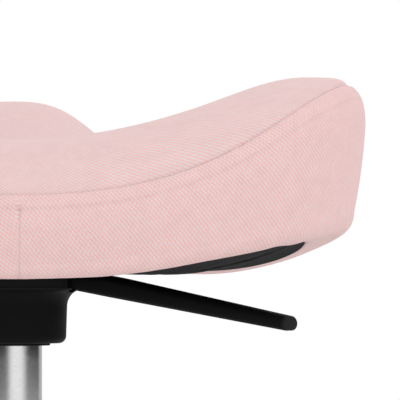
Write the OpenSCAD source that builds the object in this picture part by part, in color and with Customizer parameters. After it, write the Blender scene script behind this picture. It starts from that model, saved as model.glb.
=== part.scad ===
// Balance stool: a saddle seat on a lockable gas lift, standing on a base with a rocking underside.
// Millimetres. +Z is up, +Y is the sitter's forward, +X the sitter's right. The origin is on the
// floor, on the axis of the column.

/* [Seat] */
// Width over the two wings
seat_w = 374; // [340:1:388]
// Length from the rear to the nose
seat_l = 349; // [320:1:380]
// Height of the dish over the seat's flat belly, where the sitter is lowest
dish_h = 66.7; // [56:0.1:80]
// Rise of the nose above the dish
nose_rise = 24; // [16:0.5:32]
// Rise of the rear crown above the dish
rear_rise = 5.3; // [2:0.1:9]
// Rise of the wings above the dish, at their crests
wing_rise = 45.7; // [38:0.1:54]
// Half the distance between the wings' crests
wing_x = 160; // [148:1:172]
// Fall of the nose from its ridge to its shoulders
nose_fall = 16.6; // [10:0.2:22]
// Distance of the nose's shoulders from its ridge
nose_x = 50; // [42:1:58]
// Height of the top seam at the rear
seam_rear = 44.8; // [40:0.2:52]
// Height of the top seam at the wings
seam_wing = 105.7; // [96:0.1:112]
// Height of the top seam at the thigh cut
seam_thigh = 43; // [36:1:50]
// Height of the top seam at the nose
seam_nose = 67; // [60:1:74]
// Height of the lower hem at the rear
hem_rear = 2; // [0:0.5:6]
// Height of the lower hem at the wings
hem_wing = 22.5; // [16:0.5:28]
// Height of the lower hem at the thigh cut, below the belly
hem_thigh = -7.5; // [-11:0.5:-4]
// Height of the lower hem at the nose
hem_nose = 5; // [0:1:10]
// Distance of the lowest line across the dish in front of the column's axis
dip_y = 10; // [0:1:20]
// Run over which the seat rises from that line to the nose
nose_run = 130; // [115:1:145]
// Run over which it rises from that line to the rear crown
rear_run = 80; // [65:1:95]
// Run over which the wings' hollow turns into the nose's ridge
ridge_run = 112; // [100:1:124]
// Rise of the whole cushion toward its nose, in degrees
seat_pitch = 2.7; // [1.5:0.1:3.5]
// Distance of the middle of the cushion behind the column's axis
middle_back = 15; // [5:1:25]
// Width of the soft roll that leads from the top seam to the side
roll_w = 7.7; // [4:0.1:10]
// Height of that roll
roll_h = 18; // [10:1:20]
// Depth of the stitched seam below the roll
seam_dip = 1; // [0.5:0.1:2]
// Share of the side's height that rounds under to the hem
under_roll = 0.16; // [0.10:0.01:0.22]
// Draw-in of the side toward the hem, for each millimetre of height
side_draw = 0.08; // [0.04:0.01:0.12]

// Width of the fabric that turns under at the rear
turn_rear = 10; // [8:0.5:13]
// Width of the fabric that turns under at the wings
turn_wing = 37.8; // [30:0.2:42]
// Width of the fabric that turns under at the front
turn_front = 18; // [15:0.5:21]
// Sag of the turned fabric's inner edge below the hem, at the wings
turn_sag = 7.6; // [5:0.2:9]
// Rise of that edge above the hem, at the thigh cut
turn_lift = 3; // [1:0.5:4]
// Sag of the underside between that edge and the flat belly
belly_sag = 3; // [0.5:0.1:3.5]

/* [Upholstery] */
// Thickness of the fabric with its backing
fabric_t = 1.5; // [1:0.1:2.2]
// Ease between layers of upholstery
ease = 0.3; // [0.2:0.05:0.5]
// Thickness of the moulded seat shell
shell_t = 7; // [5:0.5:9]
// Radius of the flat belly
belly_r = 75; // [70:1:80]

/* [Seat plate] */
// Radius of the steel plate under the seat
plate_r = 59; // [57:0.5:62]
// Thickness of the plate
plate_t = 3; // [2.5:0.5:4]
// Gap between the plate and the opening of the cloth round it
plate_room = 2; // [1:0.5:4]
// Radius of the circle that the seat screws stand on
seat_screw_r = 46; // [43:0.5:48]
// Thread diameter of the seat screws
seat_screw_d = 6; // [5:1:6]
// Head diameter of the seat screws
seat_head_d = 12; // [11:0.5:13]
// Head height of the seat screws
seat_head_h = 3.2; // [2.5:0.1:3.4]
// Length of the seat screws beyond the tee nuts
seat_screw_tip = 2; // [1:0.5:3]
// Flange diameter of the tee nuts
tee_d = 19; // [17:0.5:21]
// Flange thickness of the tee nuts
tee_t = 1.5; // [1:0.1:2]
// Barrel diameter of the tee nuts
tee_barrel_d = 8; // [7.5:0.5:9]
// Thread diameter of the countersunk hub screws
hub_screw_d = 4; // [3:1:4]
// Length of the hub screws
hub_screw_l = 14; // [10:1:18]
// Radius of the circle that the hub screws stand on
hub_screw_r = 21.5; // [20:0.5:23]

/* [Hub] */
// Radius of the hub's cup
hub_r = 27; // [25:0.2:28]
// Widening of the cup from its foot to its flare
hub_draft = 0.6; // [0.2:0.1:1]
// Radius of the rim above the cup
rim_r = 35; // [33.4:0.2:35.4]
// Radius of the neck that the lever comes out of
neck_r = 31.5; // [30.5:0.1:32]
// Radius of the collar at the hub's foot
collar_r = 18.4; // [17:0.2:20]
// Drop of the collar below the cup
collar_h = 1.2; // [0.8:0.1:2]
// Height where the cup starts to flare
flare_z = 20.8; // [18.6:0.2:22.6]
// Height of the rim's lower edge
rim_z = 30; // [29:0.2:30.4]
// Thickness of the rim
rim_t = 1.2; // [0.9:0.1:1.5]
// Height of the hub from its foot to the plate
hub_h = 40.2; // [40:0.1:42.2]
// Rounding of the cup's lower edge
cup_round = 4; // [2:0.2:5]
// Room under the lever's eye in the hub's slot
slot_room = 2.2; // [1:0.2:2.4]

/* [Lever] */
// Angle of the lever behind the sitter's right
lever_yaw = 26; // [20:1:30]
// Reach of the lever from the column's axis
lever_reach = 161.2; // [150:0.2:172]
// Distance of the pivot from the column's axis
pivot_r = 22; // [20:0.5:23]
// Height of the pivot above the hub's foot
pivot_z = 35.4; // [35.2:0.1:35.8]
// Diameter of the pivot pin
pivot_d = 4; // [3:0.5:4.4]
// Length of the pivot pin
pivot_l = 34; // [30:1:36]
// Radius of the eye round the pin
eye_r = 4.4; // [4:0.1:4.5]
// Width of the steel arm
arm_w = 12; // [10:0.5:13]
// Thickness of the steel arm
arm_t = 4; // [3:0.5:4]
// Width of the grip
grip_w = 20; // [17:0.5:24]
// Thickness of the grip where it leaves the seat plate
grip_t = 10.7; // [9:0.1:11]
// Thickness of the grip at its end
grip_end_t = 7.8; // [7:0.2:10]
// Start of the grip, from the column's axis
grip_start = 37; // [36.6:0.2:39]
// Distance of the arm's bend behind the grip
bend_back = 7; // [4:1:9]
// Length of the arm inside the grip
arm_in_grip = 26; // [20:1:30]
// Run over which the grip reaches its full width
grip_spread = 24; // [18:1:28]
// Run over which it reaches its full thickness
grip_swell = 26; // [24:1:30]
// Droop of the grip's lower face
grip_droop = 10; // [8:0.2:11]
// Height of the grip's lower face at its start
grip_foot = 30.4; // [30:0.1:31]
// Rounding of the grip's corners
grip_round = 3; // [1.5:0.5:4]
// Rise of the lever at the end of its travel, in degrees
lever_swing = 3.5; // [2.5:0.5:5.5]

/* [Gas spring] */
// Outer diameter of the pressure tube
tube_d = 28; // [27:0.5:28.5]
// Wall of the pressure tube
tube_wall = 1.5; // [1.2:0.1:2]
// Depth that the pressure tube goes into the hub
tube_in_hub = 26.2; // [24.6:0.1:26.2]
// Length of the valve body
valve_l = 24; // [20:1:28]
// Diameter of the valve pin
pin_d = 8; // [6:0.5:8]
// Length of the valve pin
pin_l = 25.5; // [24:0.5:26]
// Height of the pin's top above the tube
pin_up = 5.5; // [5:0.1:5.6]
// Diameter of the piston rod
rod_d = 10; // [9:0.5:11]
// Length of the piston
piston_l = 15; // [12:1:20]
// Width of the piston's seal
seal_w = 3; // [2:0.5:4]
// Depth of the seal's groove
seal_depth = 2; // [1.5:0.1:2.5]
// Length of the rod guide in the tube's foot
rod_guide_l = 18; // [14:1:24]
// Travel of the seat below the height that is drawn
lift_down = 135; // [100:5:150]
// Travel of the seat above the height that is drawn
lift_up = 125; // [100:5:150]
// Room left at the ends of the travel
end_room = 12; // [8:1:20]

/* [Column] */
// Outer diameter of the column tube
column_d = 50; // [46:0.5:52]
// Wall of the column tube
column_wall = 2; // [1.5:0.1:2.5]
// Height of the column's top above the floor
column_top = 408; // [380:1:430]
// Height of the column's foot above the floor
column_foot = 12; // [11:0.5:14]
// Length of the guide bush
bush_l = 80; // [60:1:90]
// Thickness of the trim ring on the column
ring_t = 3; // [2:0.5:4]
// Depth of the trim ring's skirt
ring_skirt = 10; // [6:1:14]
// Wall of the trim ring's skirt
ring_wall = 1.6; // [1.2:0.1:2.4]
// Gap between the column and the hub with the seat at its lowest
low_gap = 13.8; // [10:0.2:20]
// Thickness of the column's end plate
end_plate_t = 4; // [3:0.5:5]
// Outer radius of the thrust washers
washer_r = 13; // [12:0.5:15]
// Thickness of a thrust washer
washer_t = 1.5; // [1:0.1:2]
// Diameter of a bearing ball
ball_d = 4; // [3:0.5:4.5]
// Number of bearing balls
ball_n = 10; // [8:1:11]
// Length of the rubber buffer
buffer_l = 26; // [20:1:30]
// Outer radius of the rubber buffer
buffer_r = 11; // [9:0.5:12]
// Thickness of the clip under the end plate
clip_t = 1.5; // [1:0.1:2]
// Outer radius of the clip
clip_r = 9; // [8:0.5:10]

/* [Base] */
// Diameter of the base
base_d = 390; // [380:1:420]
// Diameter of the flat that the stool stands on
foot_d = 190; // [160:2:220]
// Slope of the rocking rim, in degrees
rock_angle = 8; // [5:0.5:9]
// Thickness of the rubber tread
tread_t = 4; // [3:0.5:5]
// Height of the tread's lip round the rim
lip_h = 9; // [6:0.5:11]
// Diameter of the hole in the middle of the underside
centre_hole_d = 48; // [40:1:56]
// Thickness of the steel bottom plate
floor_t = 2.5; // [2:0.5:3]
// Wall of the base's moulded shell
base_wall = 6; // [5:0.5:7]
// Height of the base at its rim
base_rim_h = 34; // [32:0.5:38]
// Rise of the base's crown over its rim
crown_h = 16; // [10:1:22]
// Outer radius of the socket round the column
socket_r = 34; // [32:0.5:38]
// Height of the socket's top
socket_top = 96; // [86:1:110]
// Radius of the sweep from the crown to the socket
sweep_r = 20; // [14:1:24]
// Outer radius of the ballast ring
ballast_r = 72; // [66:1:74]
// Inner radius of the ballast ring
ballast_bore = 42; // [40:1:48]
// Height of the ballast ring
ballast_h = 30; // [20:1:32]
// Number of bolts that hold the bottom plate
bolt_n = 6; // [4:1:8]
// Radius of the circle that the bolts stand on
bolt_r = 84; // [83:0.5:86]
// Thread diameter of the bolts
bolt_d = 5; // [4:1:6]
// Length of the bolts
bolt_l = 16; // [13:1:20]
// Wall of the bosses that the bolts go into
boss_wall = 3.5; // [2.5:0.5:4]
// Head diameter of the bolts
bolt_head_d = 9.5; // [8.5:0.5:10]
// Head height of the bolts
bolt_head_h = 2.6; // [2:0.1:2.8]

/* [Fits] */
// Radial clearance of a running fit
run_gap = 0.05; // [0.02:0.01:0.08]
// Radial clearance of pieces that are pressed or bonded together
press_gap = 0.02; // [0.01:0.01:0.05]
// Clearance between faces that pass each other
face_gap = 0.3; // [0.2:0.05:0.4]

/* [Hidden] */

$fn = 96;
fabric_pink = [0.90, 0.74, 0.73];
fabric_dark = [0.24, 0.24, 0.25];
foam_cream = [0.93, 0.88, 0.72];
shell_grey = [0.35, 0.35, 0.37];
black = [0.08, 0.08, 0.09];
satin_steel = [0.72, 0.73, 0.74];
zinc = [0.62, 0.62, 0.60];
brass = [0.75, 0.62, 0.32];
rubber = [0.12, 0.12, 0.12];
iron = [0.30, 0.30, 0.31];

// Heights of the column, the gas spring and the seat above the floor
hub_z = column_top + ring_t + low_gap + lift_down;
under_deep = fabric_t + ease;
belly_z = hub_z + hub_h + plate_t - under_deep;
tube_r = tube_d/2;
bore_r = tube_r - tube_wall;
rod_r = rod_d/2;
column_r = column_d/2;
column_bore = column_r - column_wall;
washer_z = column_foot + end_plate_t;
cage_h = ball_d + 2*run_gap;
buffer_z = washer_z + 2*washer_t + cage_h;
tube_foot_z = buffer_z + buffer_l + end_room + lift_down;
valve_z = hub_z + tube_in_hub - valve_l;
piston_z = tube_foot_z + rod_guide_l + lift_up + end_room;
pin_top = tube_in_hub + pin_up;
nose_tip_z = pin_top + face_gap;

// The screws under the seat straddle the lever
screw_turn = 45 - lever_yaw;

// The base's outline: flat foot, rocking slope and rim
base_r = base_d/2;
foot_r = foot_d/2;
rock = tan(rock_angle);
shell_r = base_r - tread_t;
centre_r = centre_hole_d/2;

// Shape of the seat's edge. A row is one control point of half the outline, from the rear round the
// right wing and the thigh cut to the nose: x, y, height of the seam, height of the hem, width of
// the fabric that turns under, and how far its inner edge lies above the hem.
function mix(a, b, s) = a + (b - a)*s;
EDGE = [
  [0, -167, seam_rear, hem_rear, turn_rear, 0.17*turn_lift],
  [62, -165, mix(seam_rear, seam_wing, 0.08), mix(hem_rear, hem_wing, 0.09), turn_rear,
    0.17*turn_lift],
  [114, -151, mix(seam_rear, seam_wing, 0.371), mix(hem_rear, hem_wing, 0.6),
    mix(turn_rear, turn_wing, 0.04), -0.07*turn_sag],
  [156, -119, mix(seam_rear, seam_wing, 0.808), mix(hem_rear, hem_wing, 0.836),
    mix(turn_rear, turn_wing, 0.33), -0.2*turn_sag],
  [184, -70, seam_wing, hem_wing, mix(turn_rear, turn_wing, 0.92), -0.8*turn_sag],
  [189, -22, mix(seam_wing, seam_thigh, 0.2), mix(hem_wing, hem_thigh, 0.12), turn_wing, -turn_sag],
  [169, 20, mix(seam_wing, seam_thigh, 0.41), mix(hem_wing, hem_thigh, 0.5),
    mix(turn_wing, turn_front, 0.38), -0.4*turn_sag],
  [131, 52, mix(seam_wing, seam_thigh, 0.86), mix(hem_wing, hem_thigh, 0.948),
    mix(turn_wing, turn_front, 0.75), 0.33*turn_lift],
  [92, 97, seam_thigh, hem_thigh, turn_front, turn_lift],
  [55, 143, mix(seam_thigh, seam_nose, 0.58), mix(hem_thigh, hem_nose, 0.33), turn_front,
    0.67*turn_lift],
  [34, 176, mix(seam_thigh, seam_nose, 0.92), mix(hem_thigh, hem_nose, 0.83), turn_front,
    0.33*turn_lift],
  [0, 186, seam_nose, hem_nose, turn_front, 0]
];
EDGE_N = len(EDGE);
LOOP = concat(EDGE, [for (i = [EDGE_N - 2:-1:1]) [for (k = [0:5]) (k == 0 ? -1 : 1)*EDGE[i][k]]]);
LOOP_N = len(LOOP);

// A smooth closed curve through the neighbourhood of the control points
function spline(u) =
  let (i = floor(u), t = u - i)
    LOOP[(i + LOOP_N - 1) % LOOP_N]*pow(1 - t, 3)/6
    + LOOP[i % LOOP_N]*(3*pow(t, 3) - 6*t*t + 4)/6
    + LOOP[(i + 1) % LOOP_N]*(-3*pow(t, 3) + 3*t*t + 3*t + 1)/6
    + LOOP[(i + 2) % LOOP_N]*pow(t, 3)/6;
AROUND = 52;
RAW = [for (i = [0:AROUND - 1]) spline(i*LOOP_N/AROUND)];
raw_w = 2*max([for (p = RAW) p.x]);
raw_l = max([for (p = RAW) p.y]) - min([for (p = RAW) p.y]);
RIM = [for (p = RAW) [p[0]*seat_w/raw_w, p[1]*seat_l/raw_l, p[2], p[3], p[4], p[5]]];
SPOT = [for (i = [0:AROUND - 1]) [RIM[i][0], RIM[i][1]]];
OUT = [for (i = [0:AROUND - 1])
  let (d = SPOT[(i + 1) % AROUND] - SPOT[(i + AROUND - 1) % AROUND])
    [d.y, -d.x]/norm(d)];
pitch = tan(seat_pitch);
SEAM_Z = [for (p = RIM) p[2] + p.y*pitch];
HEM_Z = [for (p = RIM) p[3] + p.y*pitch];
TURN = [for (p = RIM) p[4]];
TURN_Z = [for (p = RIM) p[3] + p[5] + p.y*pitch];

// The saddle's top before the edge pulls it down
seat_centre = [0, -middle_back];
nose_power = 2.7;
wing_power = 1.9;
function smooth(a) = let (t = min(max(a, 0), 1)) t*t*(3 - 2*t);
function saddle(x, y) =
  let (
    wing = wing_rise*pow(abs(x)/wing_x, wing_power),
    fall = nose_fall*pow(abs(x)/nose_x, nose_power),
    z = dish_h + nose_rise*smooth((y - dip_y)/nose_run) + rear_rise*smooth((dip_y - y)/rear_run)
  ) z + y*pitch + mix(wing, -fall, smooth(y/ridge_run));

// Rings of the seat's surface, each laid deep inside the outer face by the depth that is asked for
edge_start = 0.627;
edge_power = 2.6;
function top_ring(t, deep) = [for (i = [0:AROUND - 1])
  let (
    seam = SPOT[i] - OUT[i]*(roll_w + deep/2),
    q = seat_centre + (seam - seat_centre)*t,
    pull = pow(max(0, (t - edge_start)/(1 - edge_start)), edge_power)
  ) [q.x, q.y, saddle(q.x, q.y) + (SEAM_Z[i] - seam_dip - saddle(seam.x, seam.y))*pull - deep]];
function roll_ring(a, deep) = [for (i = [0:AROUND - 1])
  let (q = SPOT[i] - OUT[i]*(roll_w*(1 - sin(a)) + deep*sin(a)))
    [q.x, q.y, SEAM_Z[i] - roll_h*(1 - cos(a)) - deep*cos(a)]];
function draw_in(i) = side_draw*(SEAM_Z[i] - HEM_Z[i]);
function under_r(i) = under_roll*(SEAM_Z[i] - HEM_Z[i]);
function side_ring(v, deep) = [for (i = [0:AROUND - 1])
  let (q = SPOT[i] - OUT[i]*(draw_in(i)*pow(v, 1.5) + deep))
    [q.x, q.y, mix(SEAM_Z[i] - roll_h, HEM_Z[i] + under_r(i), v)]];
function hem_ring(a, deep) = [for (i = [0:AROUND - 1])
  let (q = SPOT[i] - OUT[i]*(draw_in(i) + 0.8*under_r(i)*(1 - cos(a)) + deep*cos(a)))
    [q.x, q.y, HEM_Z[i] + under_r(i)*(1 - sin(a)) + deep*sin(a)]];
function turn_ring(back, lift) = [for (i = [0:AROUND - 1])
  let (q = SPOT[i] - OUT[i]*(max(TURN[i], draw_in(i) + 0.8*under_r(i) + 1) - back))
    [q.x, q.y, TURN_Z[i] + lift]];
function belly_ring(v, r, lift) = [for (i = [0:AROUND - 1])
  let (
    q = turn_ring(0, 0)[i],
    a = atan2(q.y, q.x),
    c = [r*cos(a), r*sin(a)],
    z = q.z*pow(1 - v, 1.6) - 4*belly_sag*v*(1 - v)
  ) [mix(q.x, c.x, v), mix(q.y, c.y, v), z + lift]];
function flat_ring(r, z) = [for (p = belly_ring(1, r, z)) p];

TOP_T = [0.14, 0.3, 0.46, 0.62, 0.76, 0.88, 0.95, 1];
ROLL_A = [28, 56, 90];
SIDE_V = [0.35, 0.7, 1];
HEM_A = [30, 60, 90];
function top_rings(deep) = [for (t = TOP_T) top_ring(t, deep)];
function band_rings(deep) = concat(
  [for (a = ROLL_A) roll_ring(a, deep)],
  [for (v = SIDE_V) side_ring(v, deep)],
  [for (a = HEM_A) hem_ring(a, deep)]);
BELLY_V = [0.25, 0.5, 0.75, 1];
function belly_rings(lift) = [for (v = BELLY_V) belly_ring(v, belly_r, lift)];
function turned(list) = [for (i = [len(list) - 1:-1:0]) list[i]];

// The two triangles between neighbours a and b on one ring and c and d on the next. Rings that are
// laid in the opposite order are split the other way, so that layers on each other stay parallel.
function quad(a, b, c, d, back) = back ? [[a, b, c], [b, d, c]] : [[a, b, d], [a, d, c]];

// A closed solid from rings that lead from one end point to the other. Those from back_from up to
// back_to are laid in the opposite order.
module capped(first, rings, last, back_from, back_to) {
  m = len(rings);
  points = concat([first], [for (r = rings) each r], [last]);
  faces = concat(
    [for (i = [0:AROUND - 1]) [0, 1 + (i + 1) % AROUND, 1 + i]],
    [for (k = [0:m - 2], i = [0:AROUND - 1])
      let (a = 1 + k*AROUND + i, b = 1 + k*AROUND + (i + 1) % AROUND)
        each quad(a, b, a + AROUND, b + AROUND, k >= back_from && k < back_to)],
    [for (i = [0:AROUND - 1])
      let (s = 1 + (m - 1)*AROUND) [s + i, s + (i + 1) % AROUND, m*AROUND + 1]]);
  polyhedron(points, faces, convexity = 6);
}

// A closed solid from rings laid outside and then, in the opposite order, inside
module looped(outside, inside) {
  rings = concat(outside, inside);
  m = len(rings);
  faces = [for (k = [0:m - 1], i = [0:AROUND - 1])
    let (
      next = (i + 1) % AROUND,
      a = k*AROUND,
      c = ((k + 1) % m)*AROUND
    ) each quad(a + i, a + next, c + i, c + next, k >= len(outside))];
  polyhedron([for (r = rings) each r], faces, convexity = 6);
}

module around_axis(n, r, start = 0) {
  for (i = [0:n - 1]) rotate([0, 0, start + i*360/n]) translate([r, 0, 0]) children();
}

module ring_solid(r_out, r_in, h) {
  difference() {
    cylinder(r = r_out, h = h);
    translate([0, 0, -1]) cylinder(r = r_in, h = h + 2);
  }
}

// Seat
shell_lift = under_deep;
shell_top = shell_lift + shell_t;
core_lift = shell_top + ease;

module top_cover() {
  color(fabric_pink) translate([0, 0, belly_z])
    capped([seat_centre.x, seat_centre.y, saddle(seat_centre.x, seat_centre.y)],
      concat(top_rings(0), turned(top_rings(fabric_t))),
      [seat_centre.x, seat_centre.y, saddle(seat_centre.x, seat_centre.y) - fabric_t],
      len(TOP_T), 2*len(TOP_T));
}

module side_band() {
  color(fabric_pink) translate([0, 0, belly_z])
    looped(concat([top_ring_edge(0)], band_rings(0), [turn_ring(0, 0)]),
      concat([turn_ring(0, fabric_t)], turned(band_rings(fabric_t)), [top_ring_edge(fabric_t)]));
}

// The band's upper edge, stitched just outside the top cover's
function top_ring_edge(deep) = [for (i = [0:AROUND - 1])
  let (q = top_ring(1, deep)[i]) [q.x + OUT[i].x*ease, q.y + OUT[i].y*ease, q.z]];

module under_cover() {
  color(fabric_dark) translate([0, 0, belly_z])
    looped(concat([turn_ring(-ease, 0)], belly_rings(0), [flat_ring(plate_r + plate_room, 0)]),
      concat([flat_ring(plate_r + plate_room, fabric_t)], turned(belly_rings(fabric_t)),
        [turn_ring(-ease, fabric_t)]));
}

module foam_core() {
  color(foam_cream) difference() {
    translate([0, 0, belly_z])
      capped([seat_centre.x, seat_centre.y, saddle(seat_centre.x, seat_centre.y) - under_deep],
        concat(top_rings(under_deep), band_rings(under_deep), [turn_ring(ease, under_deep)],
          [turn_ring(ease, core_lift)], belly_rings(core_lift)),
        [0, 0, core_lift], 0, 0);
    around_axis(4, seat_screw_r, screw_turn)
      translate([0, 0, belly_z + shell_top])
        cylinder(d = tee_d + 2*ease, h = tee_t + seat_screw_tip + ease);
  }
}

module seat_shell() {
  color(shell_grey) difference() {
    translate([0, 0, belly_z])
      capped([0, 0, shell_top],
        concat(turned(belly_rings(shell_top)), [turn_ring(0, shell_top)],
          [turn_ring(0, shell_lift)], belly_rings(shell_lift)),
        [0, 0, shell_lift], 0, len(BELLY_V));
    around_axis(4, seat_screw_r, screw_turn)
      translate([0, 0, belly_z]) cylinder(d = tee_barrel_d + 2*press_gap, h = shell_top + 1);
  }
}

module tee_nuts() {
  plate_top = hub_z + hub_h + plate_t;
  color(zinc) around_axis(4, seat_screw_r, screw_turn)
    translate([0, 0, plate_top + press_gap]) difference() {
      union() {
        cylinder(d = tee_barrel_d, h = shell_t);
        translate([0, 0, shell_t]) cylinder(d = tee_d, h = tee_t);
      }
      translate([0, 0, -1]) cylinder(d = seat_screw_d + 2*press_gap, h = shell_t + tee_t + 2);
    }
}

module seat_screws() {
  plate_under = hub_z + hub_h;
  color(black) around_axis(4, seat_screw_r, screw_turn)
    translate([0, 0, plate_under]) {
      cylinder(d = seat_screw_d, h = plate_t + shell_t + tee_t + seat_screw_tip);
      translate([0, 0, -seat_head_h]) difference() {
        cylinder(d1 = seat_head_d - 3, d2 = seat_head_d, h = seat_head_h);
        translate([0, 0, -1]) cylinder(d = 4.4, h = seat_head_h - 0.2, $fn = 6);
      }
    }
}

module seat_plate() {
  head_d = 2*hub_screw_d;
  color(black) translate([0, 0, hub_z + hub_h]) difference() {
    cylinder(r = plate_r, h = plate_t);
    around_axis(4, seat_screw_r, screw_turn)
      translate([0, 0, -1]) cylinder(d = seat_screw_d + 2*press_gap, h = plate_t + 2);
    around_axis(4, hub_screw_r, screw_turn) {
      translate([0, 0, -1]) cylinder(d = hub_screw_d + 2*press_gap, h = plate_t + 2);
      translate([0, 0, plate_t - hub_screw_d/2 - press_gap])
        cylinder(d1 = hub_screw_d + 2*press_gap, d2 = head_d + 4*press_gap,
          h = hub_screw_d/2 + 2*press_gap);
    }
  }
}

module hub_screws() {
  head_d = 2*hub_screw_d;
  color(zinc) translate([0, 0, hub_z + hub_h + plate_t - hub_screw_l])
    around_axis(4, hub_screw_r, screw_turn) {
      cylinder(d = hub_screw_d, h = hub_screw_l - hub_screw_d/2);
      translate([0, 0, hub_screw_l - hub_screw_d/2])
        cylinder(d1 = hub_screw_d, d2 = head_d, h = hub_screw_d/2 - press_gap);
    }
}

// Hub
slot_w = arm_w + 2;
slot_floor = pivot_z - eye_r - slot_room;
nose_back = 4;
nose_room = norm([nose_back, arm_w/2]) + 1;
module hub() {
  flare_n = 6;
  flare_r = hub_r + hub_draft;
  flare_w = rim_r - flare_r;
  flare_h = rim_z - flare_z;
  foot_round = 0.9*collar_h;
  color(black) translate([0, 0, hub_z]) difference() {
    rotate_extrude() polygon(concat(
      [[0, 0]],
      [for (k = [0:3]) let (a = k*30)
        [collar_r - foot_round*(1 - sin(a)), foot_round*(1 - cos(a))]],
      [[collar_r, collar_h]],
      [for (k = [0:5]) let (a = k*18)
        [hub_r - cup_round*(1 - sin(a)), collar_h + cup_round*(1 - cos(a))]],
      [for (k = [0:flare_n]) let (a = k*90/flare_n)
        [flare_r + flare_w*(1 - cos(a)), flare_z + flare_h*sin(a)]],
      [[rim_r, rim_z + rim_t], [neck_r, rim_z + rim_t], [neck_r, hub_h], [0, hub_h]]));
    translate([0, 0, -1]) cylinder(r = tube_r + press_gap, h = tube_in_hub + 1);
    cylinder(r = nose_room, h = hub_h + 1);
    rotate([0, 0, -lever_yaw]) {
      translate([-nose_room, -slot_w/2, slot_floor]) cube([rim_r + nose_room + 2, slot_w, hub_h]);
      translate([pivot_r, 2*neck_r, pivot_z]) rotate([90, 0, 0])
        cylinder(d = pivot_d + 2*press_gap, h = 2*neck_r + pivot_l/2 + face_gap);
    }
    around_axis(4, hub_screw_r, screw_turn)
      translate([0, 0, hub_h + plate_t - hub_screw_l - 1])
        cylinder(d = hub_screw_d + 2*press_gap, h = hub_screw_l);
  }
}

// Lever. Its pin goes in from the hub's far side, where the bore is open.
module at_lever() {
  translate([0, 0, hub_z]) rotate([0, 0, -lever_yaw]) children();
}

module lever_pivot() {
  color(satin_steel) at_lever() translate([pivot_r, 0, pivot_z]) rotate([90, 0, 0])
    cylinder(d = pivot_d, h = pivot_l, center = true);
}

// Side of the arm: level over the valve pin, an eye at the pivot, then a slight droop in the grip
arm_z = nose_tip_z + 0.6 + arm_t/2;
arm_bend = grip_start - bend_back;
arm_end = grip_start + arm_in_grip;
arm_fall = (arm_end - arm_bend)*tan(0.8*grip_droop);
module arm_side(grow = 0) {
  h = arm_t/2 + grow;
  polygon([
    [-nose_back, arm_z - h], [arm_bend, arm_z - h], [arm_end + grow, arm_z - arm_fall - h],
    [arm_end + grow, arm_z - arm_fall + h], [arm_bend, arm_z + h], [-nose_back, arm_z + h]]);
}

module lever_arm() {
  color(black) at_lever() rotate([90, 0, 0]) difference() {
    union() {
      linear_extrude(height = arm_w, center = true) arm_side();
      translate([pivot_r, pivot_z, 0]) cylinder(r = eye_r, h = arm_w, center = true);
      translate([0, nose_tip_z + 3, 0]) cylinder(r = 3, h = arm_w - 2, center = true);
    }
    translate([pivot_r, pivot_z, 0])
      cylinder(d = pivot_d + 2*run_gap, h = arm_w + 2, center = true);
  }
}

// Side of the grip, thickest just outside the seat plate
grip_top_z = hub_h - (plate_r - pivot_r)*sin(lever_swing) - face_gap;
module grip_side() {
  full = grip_start + grip_swell;
  foot_full = grip_foot - grip_swell*tan(grip_droop);
  foot_end = grip_foot - (lever_reach - grip_start)*tan(grip_droop);
  polygon([
    [grip_start, grip_foot], [lever_reach, foot_end],
    [lever_reach, foot_end + grip_end_t], [full, min(foot_full + grip_t, grip_top_z)],
    [grip_start, grip_top_z]]);
}

module grip_plan() {
  w = grip_w/2;
  r = grip_round;
  polygon(concat(
    [[grip_start, -w*0.8], [grip_start + grip_spread, -w]],
    [for (k = [0:4]) let (a = -90 + k*22.5)
      [lever_reach - r + r*cos(a), -w + r + r*sin(a)]],
    [for (k = [0:4]) let (a = k*22.5)
      [lever_reach - r + r*cos(a), w - r + r*sin(a)]],
    [[grip_start + grip_spread, w], [grip_start, w*0.8]]));
}

module lever_grip() {
  color(black) at_lever() difference() {
    intersection() {
      rotate([90, 0, 0]) linear_extrude(height = 2*grip_w, center = true) grip_side();
      linear_extrude(height = hub_h) grip_plan();
    }
    rotate([90, 0, 0]) linear_extrude(height = arm_w + 2*press_gap, center = true)
      arm_side(press_gap);
  }
}

// Gas spring
pin_bore_r = pin_d/2 + run_gap;
module valve_pin() {
  color(brass) translate([0, 0, hub_z + pin_top - pin_l]) union() {
    cylinder(d = pin_d, h = pin_l - 1);
    translate([0, 0, pin_l - 1]) cylinder(d1 = pin_d, d2 = pin_d - 2, h = 1);
  }
}

module valve_body() {
  pin_foot = hub_z + pin_top - pin_l;
  pin_travel = pivot_r*lever_swing*PI/180;
  color(zinc) difference() {
    translate([0, 0, valve_z]) cylinder(r = bore_r - press_gap, h = valve_l);
    translate([0, 0, pin_foot - pin_travel - 0.6]) cylinder(r = pin_bore_r, h = pin_l + 5);
  }
}

module pressure_tube() {
  color(satin_steel) translate([0, 0, tube_foot_z])
    ring_solid(tube_r, bore_r, hub_z + tube_in_hub - tube_foot_z);
}

module rod_guide() {
  color(brass) translate([0, 0, tube_foot_z])
    ring_solid(bore_r - press_gap, rod_r + run_gap, rod_guide_l);
}

module piston() {
  r = bore_r - run_gap;
  color(satin_steel) translate([0, 0, piston_z]) difference() {
    cylinder(r = r, h = piston_l);
    translate([0, 0, -1]) cylinder(r = rod_r + press_gap, h = piston_l + 2);
    translate([0, 0, (piston_l - seal_w)/2 - press_gap])
      ring_solid(r + 1, r - seal_depth, seal_w + 2*press_gap);
  }
}

module piston_seal() {
  color(rubber) translate([0, 0, piston_z + (piston_l - seal_w)/2])
    ring_solid(bore_r - run_gap/2, bore_r - run_gap - seal_depth + press_gap, seal_w);
}

module piston_rod() {
  foot = column_foot - clip_t - 3;
  color(satin_steel) translate([0, 0, foot])
    cylinder(r = rod_r, h = piston_z + piston_l + 2 - foot);
}

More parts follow.
